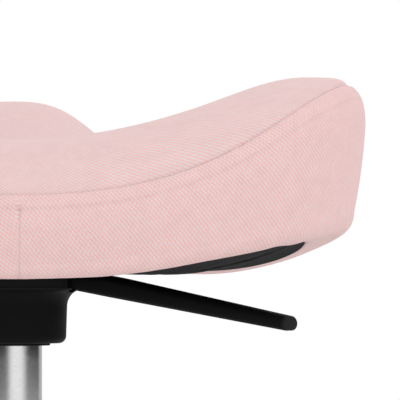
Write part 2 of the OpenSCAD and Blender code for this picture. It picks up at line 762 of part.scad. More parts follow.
module rod_buffer() {
  color(rubber) translate([0, 0, buffer_z])
    ring_solid(buffer_r, rod_r + press_gap, buffer_l);
}

module upper_washer() {
  color(satin_steel) translate([0, 0, buffer_z - washer_t])
    ring_solid(washer_r, rod_r + press_gap, washer_t);
}

module ball_cage() {
  mid = (rod_r + run_gap + 1 + washer_r)/2;
  color(brass) translate([0, 0, washer_z + washer_t + run_gap]) {
    translate([0, 0, ball_d/4]) ring_solid(washer_r - 0.5, rod_r + 1, ball_d/2);
    around_axis(ball_n, mid, 0) translate([0, 0, ball_d/2]) sphere(d = ball_d);
  }
}

module lower_washer() {
  color(satin_steel) translate([0, 0, washer_z])
    ring_solid(washer_r, rod_r + run_gap, washer_t);
}

// Column
module end_plate() {
  color(zinc) translate([0, 0, column_foot])
    ring_solid(column_bore - press_gap, rod_r + run_gap, end_plate_t);
}

module rod_clip() {
  color(satin_steel) translate([0, 0, column_foot - clip_t - face_gap]) difference() {
    cylinder(r = clip_r, h = clip_t);
    translate([0, 0, -1]) cylinder(r = rod_r + press_gap, h = clip_t + 2);
    translate([0, -1.5, -1]) cube([clip_r + 1, 3, clip_t + 2]);
  }
}

module guide_bush() {
  color(rubber) translate([0, 0, column_top - bush_l])
    ring_solid(column_bore - press_gap, tube_r + run_gap, bush_l);
}

module trim_ring() {
  skirt_r = column_r + press_gap;
  color(black) translate([0, 0, column_top - ring_skirt]) rotate_extrude() polygon([
    [skirt_r, 0], [skirt_r + ring_wall, 0], [skirt_r + ring_wall, ring_skirt + ring_t - 1],
    [skirt_r + ring_wall - 1, ring_skirt + ring_t], [tube_r + face_gap, ring_skirt + ring_t],
    [tube_r + face_gap, ring_skirt], [skirt_r, ring_skirt]]);
}

module column_tube() {
  color(satin_steel) translate([0, 0, column_foot])
    ring_solid(column_r, column_bore, column_top - column_foot);
}

// Base. The underside is flat in the middle and rises toward the rim, so that the stool can rock.
function under_z(r) = max(0, (r - foot_r)*rock);
plate_edge = shell_r - 1;
module tread_pad() {
  color(rubber) difference() {
    rotate_extrude() polygon([
      [centre_r, 0], [foot_r, 0], [base_r - 1, under_z(base_r - 1)],
      [base_r, under_z(base_r) + 1], [base_r, under_z(base_r) + lip_h],
      [shell_r + press_gap, under_z(base_r) + lip_h],
      [shell_r + press_gap, under_z(shell_r) + tread_t], [foot_r, tread_t], [centre_r, tread_t]]);
    around_axis(bolt_n, bolt_r)
      translate([0, 0, -1]) cylinder(d = bolt_head_d + 1, h = tread_t + 2);
  }
}

module bottom_plate() {
  color(iron) difference() {
    translate([0, 0, tread_t]) rotate_extrude() polygon([
      [centre_r, 0], [foot_r, 0], [plate_edge, under_z(plate_edge)],
      [plate_edge, under_z(plate_edge) + floor_t], [foot_r, floor_t], [centre_r, floor_t]]);
    around_axis(bolt_n, bolt_r)
      cylinder(d = bolt_d + 2*press_gap, h = base_rim_h);
  }
}

// Outer face of the base's shell, from the rim over the crown and up the sweep to the socket
function crown_z(r) = base_rim_h + crown_h*(1 - pow((r - socket_r)/(shell_r - socket_r), 2));
sweep_foot = crown_z(socket_r + sweep_r);
function outer_face(inset) = concat(
  [for (k = [0:8]) let (r = mix(shell_r - inset, socket_r + sweep_r, k/8)) [r, crown_z(r) - inset]],
  [for (k = [1:6]) let (a = k*15)
    [socket_r + sweep_r*(1 - sin(a)), sweep_foot - inset + (sweep_r + inset)*(1 - cos(a))]]);
module base_shell() {
  seat_z = tread_t + floor_t;
  color(black) difference() {
    rotate_extrude() polygon(concat(
      [[clip_r + 2, seat_z], [socket_r, seat_z], [socket_r, crown_z(socket_r) - base_wall]],
      turned([for (p = outer_face(base_wall)) if (p.x > socket_r + 1) p]),
      [[shell_r - base_wall, under_z(shell_r - base_wall) + seat_z],
        [plate_edge, under_z(plate_edge) + seat_z],
        [plate_edge + press_gap, under_z(plate_edge) + tread_t],
        [shell_r, under_z(shell_r) + tread_t]],
      outer_face(0),
      [[socket_r, socket_top - 2], [socket_r - 2, socket_top], [clip_r + 2, socket_top]]));
    translate([0, 0, column_foot]) cylinder(r = column_r + press_gap, h = socket_top);
  }
  color(black) around_axis(bolt_n, bolt_r) difference() {
    translate([0, 0, seat_z]) cylinder(r = bolt_d/2 + boss_wall, h = crown_z(bolt_r) - base_wall/2 - seat_z);
    cylinder(d = bolt_d + 2*press_gap, h = bolt_l + tread_t + 1);
  }
}

module ballast_ring() {
  color(iron) translate([0, 0, tread_t + floor_t])
    ring_solid(ballast_r, ballast_bore, ballast_h);
}

module plate_bolts() {
  color(zinc) around_axis(bolt_n, bolt_r) translate([0, 0, tread_t]) {
    cylinder(d = bolt_d, h = bolt_l);
    translate([0, 0, -bolt_head_h]) difference() {
      cylinder(d1 = bolt_head_d - 2, d2 = bolt_head_d, h = bolt_head_h);
      translate([0, 0, -1]) cylinder(d = bolt_d*0.7, h = bolt_head_h, $fn = 6);
    }
  }
}

top_cover();
side_band();
under_cover();
foam_core();
seat_shell();
tee_nuts();
seat_screws();
seat_plate();
hub_screws();
hub();
lever_pivot();
lever_arm();
lever_grip();
valve_pin();
valve_body();
pressure_tube();
rod_guide();
piston_seal();
piston();
piston_rod();
rod_buffer();
upper_washer();
ball_cage();
lower_washer();
end_plate();
rod_clip();
guide_bush();
trim_ring();
column_tube();
base_shell();
ballast_ring();
bottom_plate();
plate_bolts();
tread_pad();
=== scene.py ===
"""Balance stool: camera, light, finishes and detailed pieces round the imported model.

Shapes are worked out in millimetres and turned into metres when a mesh is made.
"""
import math

import bpy
import numpy as np
from mathutils import Matrix, Vector


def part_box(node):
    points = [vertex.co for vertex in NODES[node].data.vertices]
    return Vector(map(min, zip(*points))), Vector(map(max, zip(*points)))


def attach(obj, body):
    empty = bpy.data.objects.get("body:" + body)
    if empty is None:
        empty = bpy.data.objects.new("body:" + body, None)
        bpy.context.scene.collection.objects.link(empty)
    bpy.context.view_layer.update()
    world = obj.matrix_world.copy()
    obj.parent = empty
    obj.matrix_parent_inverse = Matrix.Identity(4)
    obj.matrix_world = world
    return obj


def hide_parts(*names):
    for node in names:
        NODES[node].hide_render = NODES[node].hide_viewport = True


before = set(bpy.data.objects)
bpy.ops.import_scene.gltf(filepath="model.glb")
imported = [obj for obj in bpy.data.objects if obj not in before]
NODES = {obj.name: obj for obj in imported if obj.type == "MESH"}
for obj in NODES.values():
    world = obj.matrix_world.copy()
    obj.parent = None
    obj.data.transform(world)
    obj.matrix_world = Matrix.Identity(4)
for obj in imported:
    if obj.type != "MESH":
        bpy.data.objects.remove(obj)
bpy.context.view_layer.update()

MM = 0.001


def low(node):
    """Lowest corner of a CAD node, in millimetres."""
    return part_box(node)[0] / MM


def high(node):
    """Highest corner of a CAD node, in millimetres."""
    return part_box(node)[1] / MM


# Places that come from the frame, in millimetres
HUB_Z = low("hub").z
HUB_TOP = high("hub").z - HUB_Z
PLATE_TOP = high("seat_plate").z
TUBE_R = high("pressure_tube").x
COLUMN_R = high("column_tube").x
COLUMN_TOP = high("column_tube").z
BASE_R = high("tread_pad").x
SEAT_W = high("side_band").x - low("side_band").x
SEAT_L = high("side_band").y - low("side_band").y

# Sizes of the seat, as in the construction, in millimetres above its flat belly
FABRIC_T = 1.5
EASE = 0.3
DISH_H, NOSE_RISE, REAR_RISE = 66.7, 24, 5.3
WING_RISE, WING_X, WING_POWER = 45.7, 160, 1.9
NOSE_FALL, NOSE_X, NOSE_POWER = 16.6, 50, 2.7
RIDGE_RUN = 112
PITCH = math.tan(math.radians(2.7))
# Heights of the seam and of the hem at four stations of the rim
REAR, WING, THIGH, NOSE = (44.8, 2), (105.7, 22.5), (43, -7.5), (67, 5)
ROLL_W, ROLL_H, SEAM_DIP = 7.7, 18, 1
UNDER_ROLL, SIDE_DRAW = 0.16, 0.08
BELLY_R, BELLY_SAG, SHELL_T = 75, 3.1, 7
SCREW_R, SCREW_TURN = 46, 19
PLATE_R = high("seat_plate").x
BELLY_Z = PLATE_TOP - FABRIC_T - EASE
SEAT_CENTRE = np.array([0.0, -15.0])

# The lever, in the hub's frame turned to its direction
LEVER_YAW, LEVER_SWING = math.radians(26), math.radians(3.5)
LEVER_REACH, LEVER_START = 161.2, 37
LEVER_FOOT, LEVER_FALL = 29.7, 0.1707
LEVER_W, LEVER_T, LEVER_END_T = 20, 11.3, 7.8
PIN_X, PIN_Z = 22, 35.4
AT_LEVER = Matrix.Translation((0, 0, HUB_Z)) @ Matrix.Rotation(-LEVER_YAW, 4, "Z")

WORLD_LIGHT = 0.80


def add_object(name, data):
    """Puts an object with this data in the scene."""
    made = bpy.data.objects.new(name, data)
    bpy.context.scene.collection.objects.link(made)
    return made


def add_mesh(name, points, faces):
    mesh = bpy.data.meshes.new(name)
    mesh.from_pydata(points, [], faces)
    return add_object(name, mesh)


# Shader nodes

def socket_link(tree, value, socket):
    """Sets a socket to a number or colour, or links another node's output to it."""
    if isinstance(value, bpy.types.NodeSocket):
        tree.links.new(value, socket)
    else:
        socket.default_value = value


def node(tree, kind, inputs=None, **settings):
    """Adds a shader node, sets its properties and feeds its inputs by name or index."""
    made = tree.nodes.new("ShaderNode" + kind)
    for key, value in settings.items():
        setattr(made, key, value)
    for key, value in (inputs or {}).items():
        socket_link(tree, value, made.inputs[key])
    return made


def math_node(tree, operation, *inputs):
    return node(tree, "Math", dict(enumerate(inputs)), operation=operation).outputs[0]


def times(tree, a, b):
    return math_node(tree, "MULTIPLY", a, b)


def times_add(tree, a, b, c):
    return math_node(tree, "MULTIPLY_ADD", a, b, c)


def wave(tree, value):
    """Half a unit of sine round a half."""
    return times_add(tree, math_node(tree, "SINE", value), 0.5, 0.5)


def blend(tree, share, a, b):
    return node(tree, "Mix", {"Factor": share, "A": a, "B": b}, data_type="FLOAT").outputs["Result"]


def mix_colour(tree, share, a, b):
    return node(tree, "Mix", {"Factor": share, 6: a, 7: b}, data_type="RGBA").outputs[2]


def scaled(tree, colour, factor):
    return node(tree, "VectorMath", {0: colour, "Scale": factor}, operation="SCALE").outputs["Vector"]


def shades(tree, share, colour, darker, lighter):
    """A colour from darker to lighter, both factors of it, as the share grows from none to one."""
    ends = [tuple(min(1, c * factor) for c in colour[:3]) + (1,) for factor in (darker, lighter)]
    return mix_colour(tree, share, *ends)


def ramp(tree, value, start, end, low_level=0.0, high_level=1.0, kind="LINEAR"):
    """The first level up to the start and the second one from the end on."""
    return node(tree, "MapRange", {"Value": value, "From Min": start, "From Max": end,
                                   "To Min": low_level, "To Max": high_level},
                interpolation_type=kind).outputs["Result"]


def near_line(tree, distance, width):
    """One on a line, falling to none at the width beside it."""
    return ramp(tree, distance, 0.0, width, 1.0, 0.0, "SMOOTHSTEP")


def noise(tree, place, scale, detail=2.0, roughness=0.5):
    return node(tree, "TexNoise", {"Vector": place, "Scale": scale, "Detail": detail,
                                   "Roughness": roughness}).outputs["Fac"]


def mapped(tree, place, scale, turn=(0, 0, 0)):
    return node(tree, "Mapping", {"Vector": place, "Scale": scale, "Rotation": turn}).outputs["Vector"]


def bump(tree, height, distance, strength):
    return node(tree, "Bump", {"Height": height, "Distance": distance,
                               "Strength": strength}).outputs["Normal"]


def bare_tree(owner):
    """The node tree of a world or a material, emptied."""
    owner.use_nodes = True
    owner.node_tree.nodes.clear()
    return owner.node_tree


def to_surface(tree, shader, output="OutputMaterial"):
    tree.links.new(shader.outputs[0], node(tree, output).inputs["Surface"])


# Camera and light

def make_camera():
    """A long lens behind the stool, almost level, aimed at the middle of the photograph."""
    distance, seen_width = 3000, 217.2
    raised, turned = math.radians(-0.7), math.radians(-0.6)
    aim = Vector((99.7, 0, PLATE_TOP + 35.7))
    place = Vector((0, -distance, aim.z + distance * math.tan(raised)))
    turn = Matrix.Rotation(turned, 3, "Z")
    aim, place = turn @ aim, turn @ place
    data = bpy.data.cameras.new("camera")
    data.sensor_width = 36
    data.lens = data.sensor_width * (aim - place).length / seen_width
    data.clip_start, data.clip_end = 0.05, 100
    camera = add_object("camera", data)
    camera.location = place * MM
    camera.rotation_euler = (aim - place).to_track_quat("-Z", "Y").to_euler()
    bpy.context.scene.camera = camera


def make_world():
    """Even studio light, and plain white wherever the camera, gloss or glass looks."""
    world = bpy.data.worlds.new("studio")
    bpy.context.scene.world = world
    tree = bare_tree(world)
    path = node(tree, "LightPath").outputs
    seen = math_node(tree, "ADD", path["Is Camera Ray"], path["Is Glossy Ray"])
    seen = node(tree, "Math", {0: seen, 1: path["Is Transmission Ray"]},
                operation="ADD", use_clamp=True).outputs[0]
    strength = blend(tree, seen, WORLD_LIGHT, 1.0)
    to_surface(tree, node(tree, "Background", {"Color": (1, 1, 1, 1), "Strength": strength}),
               "OutputWorld")


def area_light(name, place, aim, size, energy):
    data = bpy.data.lights.new(name, "AREA")
    data.shape = "RECTANGLE"
    data.size, data.size_y = size
    data.energy = energy
    lamp = add_object(name, data)
    lamp.location = place
    lamp.rotation_euler = (Vector(aim) - Vector(place)).to_track_quat("-Z", "Y").to_euler()
    return lamp


def make_lights():
    area_light("top_softbox", (0.5, -0.9, 2.3), (0, 0, 0.6), (1.6, 1.6), 5)
    front = area_light("front_softbox", (0.5, -2.3, 0.9), (0, 0, 0.6), (1.8, 1.4), 3)
    right = area_light("right_softbox", (2.1, -0.9, 0.9), (0.1, 0, 0.6), (1.4, 1.4), 5)
    front.visible_glossy = right.visible_glossy = False
    area_light("left_softbox", (-1.7, -1.5, 1.3), (0, 0, 0.55), (1.0, 1.4), 4)
    area_light("back_softbox", (0.6, 2.0, 1.7), (0, 0, 0.5), (1.4, 1.0), 5)


def make_cards():
    """A ring of cards round the stool that only gloss sees. They draw the bands on the tube: full
    light in front, soft-edged dark beside it that lifts toward the floor, and grey behind. Lower
    down, for the views from above, they are dark on both sides again."""
    low_end, high_end, steps = -0.2, 1.6, 120
    points, faces = [], []
    for k in range(steps):
        a = 2 * math.pi * k / steps
        points += [(math.sin(a), -math.cos(a), z) for z in (low_end, high_end)]
        n = 2 * ((k + 1) % steps)
        faces.append((2 * k, 2 * k + 1, n + 1, n))
    cards = add_mesh("cards", points, faces)
    material = bpy.data.materials.new("cards")
    tree = bare_tree(material)
    parts = node(tree, "SeparateXYZ", {0: node(tree, "TexCoord").outputs["Object"]}).outputs
    azimuth = math_node(tree, "ABSOLUTE", math_node(
        tree, "ARCTAN2", parts["X"], times(tree, parts["Y"], -1.0)))
    on_left = math_node(tree, "LESS_THAN", parts["X"], 0.0)
    azimuth = times(tree, azimuth, times_add(tree, on_left, 0.13, 1.0))

    def beyond(start, end, kind="SMOOTHSTEP"):
        return ramp(tree, azimuth, math.radians(start), math.radians(end), kind=kind)

    def below(start, end, kind="SMOOTHSTEP"):
        return ramp(tree, parts["Z"], start, end, kind=kind)

    dark = times(tree, below(0.5375, 0.4255, "LINEAR"), times_add(tree, on_left, -0.2, 1.0))
    level = blend(tree, beyond(18, 54), 1.0, dark)
    level = blend(tree, beyond(121, 124, "LINEAR"), level, 0.6)
    level = blend(tree, below(0.50, 0.40), level, 1.0)
    sides = blend(tree, beyond(18, 54), 1.0, 0.16)
    sides = blend(tree, beyond(100, 125), sides, 0.9)
    level = blend(tree, below(0.37, 0.29), level, sides)
    to_surface(tree, node(tree, "Emission", {"Strength": level}))
    cards.data.materials.append(material)
    for ray in ("camera", "diffuse", "transmission", "volume_scatter", "shadow"):
        setattr(cards, "visible_" + ray, False)


def make_floor():
    """A pale round floor that fades out before its rim, so no horizon shows. From below it is clear."""
    radius, fade_from, fade_to, steps = 1.5, 0.55, 0.98, 96
    turns = [2 * math.pi * k / steps for k in range(steps)]
    points = [(0, 0, 0)] + [(radius * math.cos(a), radius * math.sin(a), 0) for a in turns]
    floor = add_mesh("floor", points, [(0, 1 + k, 1 + (k + 1) % steps) for k in range(steps)])
    floor.location.z = -0.0002
    material = bpy.data.materials.new("floor")
    tree = bare_tree(material)
    place = node(tree, "TexCoord").outputs["Object"]
    far = node(tree, "VectorMath", {0: place}, operation="LENGTH").outputs["Value"]
    fade = ramp(tree, far, radius * fade_from, radius * fade_to, 1.0, 0.0, "SMOOTHERSTEP")
    under = node(tree, "NewGeometry").outputs["Backfacing"]
    seen = times(tree, fade, math_node(tree, "SUBTRACT", 1.0, under))
    paint = node(tree, "BsdfDiffuse", {"Color": (0.93, 0.93, 0.93, 1)})
    clear = node(tree, "BsdfTransparent")
    to_surface(tree, node(tree, "MixShader", {0: seen, 1: clear.outputs[0], 2: paint.outputs[0]}))
    floor.data.materials.append(material)


# Materials

def linear(r, g, b):
    """A colour of 0 to 255 as it looks on screen, turned into light."""
    def one(c):
        c /= 255
        return c / 12.92 if c <= 0.04045 else ((c + 0.055) / 1.055) ** 2.4
    return (one(r), one(g), one(b), 1)


def new_material(name, attribute=None):
    """A material, its tree, and the place or the attribute that its pattern is worked out from."""
    material = bpy.data.materials.new(name)
    material.use_nodes = True
    tree = material.node_tree
    if attribute:
        return material, tree, node(tree, "Attribute", attribute_name=attribute).outputs["Vector"]
    return material, tree, node(tree, "TexCoord").outputs["Object"]


def finished(material, values):
    """Feeds the inputs of the material's shader."""
    tree = material.node_tree
    for key, value in values.items():
        socket_link(tree, value, tree.nodes["Principled BSDF"].inputs[key])
    return material


def pink_twill(name, angle, salmon):
    """Twill of salmon and pale grey threads. Its lines run at the angle in the cloth's own
    coordinates, which the piece holds in millimetres in the attribute cloth. The third of them
    is the distance from the nearest seam, darkened there by thread and painted shade."""
    pitch, float_l, float_step, seam_shade_w = 1.76, 2.3, 0.37, 0.7
    material, tree, cloth = new_material(name, "cloth")
    parts = node(tree, "SeparateXYZ", {0: cloth}).outputs
    c, s = math.cos(math.radians(angle)), math.sin(math.radians(angle))
    across = math_node(tree, "SUBTRACT", times(tree, parts["X"], s), times(tree, parts["Y"], c))
    along = math_node(tree, "ADD", times(tree, parts["X"], c), times(tree, parts["Y"], s))
    across = times_add(tree, noise(tree, cloth, 0.05), 0.6, across)
    phase = times(tree, across, 2 * math.pi / pitch)
    floats = wave(tree, times_add(tree, across, 2 * math.pi * float_step / pitch,
                                  times(tree, along, 2 * math.pi / float_l)))
    fuzz = noise(tree, cloth, 1.25, 3.0, 0.75)
    share = times_add(tree, floats, 0.25, times(tree, wave(tree, phase), 0.75))
    share = times_add(tree, math_node(tree, "SUBTRACT", fuzz, 0.5), 2.0, share)
    colour = mix_colour(tree, share, linear(226, 217, 221), salmon)
    blotch = noise(tree, cloth, 0.12, 3.0, 0.6)
    colour = scaled(tree, colour, ramp(tree, blotch, 0.3, 0.7, 0.965, 1.02))
    # Thread and painted shade in the seam's groove darken the cloth near the seam
    colour = mix_colour(tree, near_line(tree, parts["Z"], seam_shade_w), colour, linear(130, 74, 72))
    ribs = wave(tree, times(tree, phase, 2.0))
    height = times_add(tree, fuzz, 0.8, times_add(tree, floats, 0.5, ribs))
    return finished(material, {
        "Base Color": colour, "Roughness": 0.9, "Sheen Weight": 0.22, "Sheen Roughness": 0.45,
        "Sheen Tint": (1.0, 0.86, 0.84, 1), "Specular IOR Level": 0.12,
        "Normal": bump(tree, height, 0.00010, 0.55)})


def lining_cloth():
    """Charcoal lining with a fine plain weave. Painted shade darkens it along its fold."""
    weave_pitch, fold_shade_w = 0.8, 2.2
    material, tree, cloth = new_material("lining_cloth", "cloth")
    parts = node(tree, "SeparateXYZ", {0: cloth}).outputs
    warp, weft = (wave(tree, times(tree, parts[way], 2 * math.pi / weave_pitch)) for way in "XY")
    weave = times(tree, warp, weft)
    tone = times_add(tree, noise(tree, cloth, 2.2, 2.0, 0.8), 0.9, times(tree, weave, 0.5))
    colour = mix_colour(tree, tone, linear(22, 22, 23), linear(40, 40, 42))
    fold = near_line(tree, math_node(tree, "ABSOLUTE", parts["Z"]), fold_shade_w)
    colour = mix_colour(tree, fold, colour, linear(5, 5, 6))
    return finished(material, {
        "Base Color": colour, "Roughness": 0.95, "Specular IOR Level": 0.04,
        "Sheen Weight": 0.02, "Normal": bump(tree, weave, 0.00015, 0.5)})


def moulded(name, colour, rough, grain=0.00002, grain_scale=2600, specular=0.35, painted_light=None):
    """Moulded plastic with a fine eroded grain and slightly uneven gloss. Where painted_light is
    given, painted light lifts its tone by a factor between two places along a direction, in
    millimetres."""
    material, tree, place = new_material(name)
    grains = noise(tree, place, grain_scale, 2.0, 0.6)
    cloud = noise(tree, place, 22, 3.0, 0.6)
    tone = shades(tree, cloud, colour, 0.82, 1.18)
    if painted_light:
        along, start, end, gain = painted_light
        reach = node(tree, "VectorMath", {0: place, 1: along}, operation="DOT_PRODUCT").outputs["Value"]
        # Painted light: the tone lifts past the given place
        tone = scaled(tree, tone, ramp(tree, reach, start * MM, end * MM, 1.0, gain))
    return finished(material, {
        "Base Color": tone, "Roughness": ramp(tree, cloud, 0.3, 0.7, rough - 0.05, rough + 0.05),
        "Specular IOR Level": specular, "Normal": bump(tree, grains, grain, 0.6)})


def coated(name, colour, rough):
    """Powder coat on steel, with its fine orange peel."""
    material, tree, place = new_material(name)
    tone = shades(tree, noise(tree, place, 3200, 1.0), colour, 0.8, 1.25)
    return finished(material, {
        "Base Color": tone, "Roughness": rough, "Specular IOR Level": 0.45,
        "Normal": bump(tree, noise(tree, place, 900), 0.00006, 0.5)})


def metal(name, colour, rough, stretch=(1, 1, 1), grain_scale=700, grain=0.00001, spread=0.06,
          tone_spread=0.12):
    """Bare or plated metal. The grain is stretched along the way it was ground or drawn."""
    material, tree, place = new_material(name)
    place = mapped(tree, place, stretch)
    scratches = noise(tree, place, grain_scale, 3.0, 0.65)
    uneven = times_add(tree, noise(tree, place, grain_scale / 14), 0.4, scratches)
    return finished(material, {
        "Base Color": shades(tree, scratches, colour, 1 - tone_spread, 1 + tone_spread),
        "Roughness": ramp(tree, uneven, 0.4, 1.0, rough - spread, rough + spread),
        "Metallic": 1.0, "Normal": bump(tree, scratches, grain, 0.5)})


def satin_tube():
    """Drawn steel tube with a satin polish along its length, which spreads gloss sideways."""
    material, tree, place = new_material("satin_tube")
    lines = noise(tree, mapped(tree, place, (0.25, 0.25, 1)), 1500, 2.0, 0.7)
    mottle = noise(tree, place, 330, 3.0, 0.65)
    return finished(material, {
        "Base Color": mix_colour(tree, lines, (0.67, 0.67, 0.675, 1), (0.85, 0.85, 0.85, 1)),
        "Roughness": ramp(tree, mottle, 0.3, 0.7, 0.19, 0.23), "Metallic": 1.0, "Anisotropic": 0.8,
        "Tangent": node(tree, "Tangent", direction_type="RADIAL", axis="Z").outputs["Tangent"],
        "Normal": bump(tree, times_add(tree, mottle, 0.5, lines), 0.000006, 0.5)})


def base_plastic():
    """The base's black moulding: a fine spark texture, with a little dust and shoe scuff."""
    material, tree, place = new_material("base_nylon")
    grains = noise(tree, place, 1500, 2.0, 0.65)
    cloud = noise(tree, place, 9, 4.0, 0.6)
    streak = noise(tree, mapped(tree, place, (3, 14, 6), (0, 0, 0.7)), 7, 4.0, 0.7)
    scuff = ramp(tree, streak, 0.62, 0.74, 0.0, 0.35)
    tone = mix_colour(tree, cloud, linear(27, 27, 28), linear(36, 36, 37))
    return finished(material, {
        "Base Color": mix_colour(tree, scuff, tone, linear(58, 57, 56)),
        "Roughness": times_add(tree, scuff, 0.35, times_add(tree, cloud, 0.15, 0.42)),
        "Specular IOR Level": 0.35, "Normal": bump(tree, grains, 0.00007, 0.5)})


def tread_rubber():
    """Matt black rubber, greyed by the floor where it touches."""
    material, tree, place = new_material("tread_rubber")
    cloud = noise(tree, place, 14, 4.0, 0.65)
    height = node(tree, "SeparateXYZ", {0: place}).outputs["Z"]
    worn = ramp(tree, times_add(tree, cloud, -0.010, height), -0.008, 0.004, 0.75, 0.0)
    tone = mix_colour(tree, cloud, linear(33, 33, 34), linear(44, 44, 45))
    return finished(material, {
        "Base Color": mix_colour(tree, worn, tone, linear(82, 80, 78)), "Roughness": 0.78,
        "Specular IOR Level": 0.3,
        "Normal": bump(tree, noise(tree, place, 1100, 3.0, 0.7), 0.0001, 0.6)})


def foam_stuff():
    material, tree, place = new_material("foam_stuff")
    cells = node(tree, "TexVoronoi", {"Vector": place, "Scale": 900.0}).outputs["Distance"]
    return finished(material, {
        "Base Color": mix_colour(tree, cells, linear(214, 200, 160), linear(244, 234, 202)),
        "Roughness": 0.95, "Normal": bump(tree, cells, 0.0004, 0.6)})


# Meshes

def new_piece(name, points, faces, material, body, slot, cloth=None, sharp=None):
    """A mesh piece from points in millimetres, with its material. It rides on a body. The slot is not
    used.
    """
    piece = add_mesh(name, [tuple(p) for p in np.asarray(points) * MM], faces)
    mesh = piece.data
    mesh.validate()
    mesh.shade_smooth()
    if sharp is not None:
        mesh.set_sharp_from_angle(angle=math.radians(sharp))
    if cloth is not None:
        layer = mesh.attributes.new("cloth", "FLOAT_VECTOR", "POINT")
        layer.data.foreach_set("vector", np.asarray(cloth, np.float32).ravel())
    mesh.materials.append(material)
    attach(piece, body)
    return piece


def ring_faces(rings, around, closed=False):
    """Quads between rings of points that follow each other. Closed, they lead back to the first."""
    faces = []
    for k in range(rings if closed else rings - 1):
        a, b = k * around, (k + 1) % rings * around
        faces += [(a + i, a + (i + 1) % around, b + (i + 1) % around, b + i) for i in range(around)]
    return faces


def lathe(name, profile, material, body, slot, around=160, sharp=35):
    """A turned piece from a closed outline of (radius, height), both in millimetres."""
    profile = np.array(profile, float)
    following = np.roll(profile, -1, 0)
    if (profile[:, 0] * following[:, 1] - following[:, 0] * profile[:, 1]).sum() < 0:
        profile = profile[::-1]
    angle = np.arange(around) * 2 * math.pi / around
    rings = [np.column_stack([r * np.cos(angle), r * np.sin(angle), np.full(around, z)])
             for r, z in profile]
    faces = ring_faces(len(rings), around, closed=True)
    return new_piece(name, np.concatenate(rings), faces, material, body, slot, sharp=sharp)


def fillet(corners, steps=6):
    """A closed outline with rounded corners, from (x, y, radius) taken in order."""
    made = []
    count = len(corners)
    for k in range(count):
        here = np.array(corners[k][:2], float)
        radius = corners[k][2] if len(corners[k]) > 2 else 0
        before = np.array(corners[k - 1][:2], float) - here
        after = np.array(corners[(k + 1) % count][:2], float) - here
        la, lb = np.linalg.norm(before), np.linalg.norm(after)
        before, after = before / la, after / lb
        half = math.acos(max(-1, min(1, float(before @ after)))) / 2
        if radius <= 0 or half > math.radians(88):
            made.append(here)
            continue
        run = min(radius / math.tan(half), la * 0.49, lb * 0.49)
        radius = run * math.tan(half)
        centre = here + (before + after) / np.linalg.norm(before + after) * radius / math.sin(half)
        start, end = here + before * run - centre, here + after * run - centre
        for s in np.linspace(0, 1, steps + 1):
            p = start * (1 - s) + end * s
            made.append(centre + p / np.linalg.norm(p) * radius)
    return made


def finish_node(name, material):
    """Gives a CAD node its material."""
    materials = NODES[name].data.materials
    materials.clear()
    materials.append(material)


def cut(piece, tools):
    """Cuts other meshes out of a piece and removes them."""
    for tool in tools:
        change = piece.modifiers.new("cut", "BOOLEAN")
        change.operation, change.object, change.solver = "DIFFERENCE", tool, "EXACT"
    graph = bpy.context.evaluated_depsgraph_get()
    made = bpy.data.meshes.new_from_object(piece.evaluated_get(graph))
    piece.modifiers.clear()
    piece.data = made
    made.set_sharp_from_angle(angle=math.radians(35))
    for tool in tools:
        bpy.data.objects.remove(tool)


def tool_mesh(name, points, faces, place):
    return add_mesh(name, [tuple((place @ Vector(p)) * MM) for p in points], faces)


def box_tool(name, lo, hi):
    """A box in the lever's frame."""
    x, y, z = zip(lo, hi)
    points = [(x[i], y[j], z[k]) for i in (0, 1) for j in (0, 1) for k in (0, 1)]
    faces = [(0, 1, 3, 2), (4, 6, 7, 5), (0, 4, 5, 1), (2, 3, 7, 6), (0, 2, 6, 4), (1, 5, 7, 3)]
    return tool_mesh(name, points, faces, AT_LEVER)


def rod_tool(name, start, end, radius, place=Matrix.Identity(4)):
    sides = 32
    start, end = Vector(start), Vector(end)
    turn = (end - start).to_track_quat("Z", "Y")
    points = []
    for centre in (start, end):
        for k in range(sides):
            a = 2 * math.pi * k / sides
            points.append(centre + turn @ Vector((radius * math.cos(a), radius * math.sin(a), 0)))
    faces = [(k, (k + 1) % sides, sides + (k + 1) % sides, sides + k) for k in range(sides)]
    faces += [tuple(range(sides - 1, -1, -1)), tuple(range(sides, 2 * sides))]
    return tool_mesh(name, points, faces, place)


def rods_round(name, count, first_turn, reach, foot, top, radius):
    """Upright rods on a circle round the stool's axis, the first one turned from the width."""
    rods = []
    for k in range(count):
        a = math.radians(first_turn + 360 / count * k)
        x, y = reach * math.cos(a), reach * math.sin(a)
        rods.append(rod_tool(name, (x, y, foot), (x, y, top), radius))
    return rods


# The seat's surface, by the rules of the construction, with the belly and the turned edge fitted
# a little closer to the photograph

def mix(a, b, s):
    return a + (b - a) * s


def part_way(a, b, seam_share, hem_share):
    """Heights of the seam and of the hem between two stations of the rim."""
    return mix(a[0], b[0], seam_share), mix(a[1], b[1], hem_share)


# Control points of half the rim: x, y, seam and hem height, width and drop of the turned edge
EDGE = [
    (0, -167, *REAR, 10, 0.5),
    (62, -165, *part_way(REAR, WING, 0.08, 0.108), 10, 0.5),
    (114, -151, *part_way(REAR, WING, 0.371, 0.612), 11, -0.6),
    (156, -119, *part_way(REAR, WING, 0.808, 0.815), 17.9, -0.9),
    (184, -70, *WING, 32.1, -3.6),
    (189, -22, *part_way(WING, THIGH, 0.2, 0.12), 34, -5.5),
    (169, 20, *part_way(WING, THIGH, 0.41, 0.5), 27.9, -1.8),
    (131, 52, *part_way(WING, THIGH, 0.86, 0.948), 22, 1),
    (92, 97, *THIGH, 18, 3),
    (55, 143, *part_way(THIGH, NOSE, 0.58, 0.33), 18, 2),
    (34, 176, *part_way(THIGH, NOSE, 0.92, 0.83), 18, 1),
    (0, 186, *NOSE, 18, 0),
]
AROUND = 720


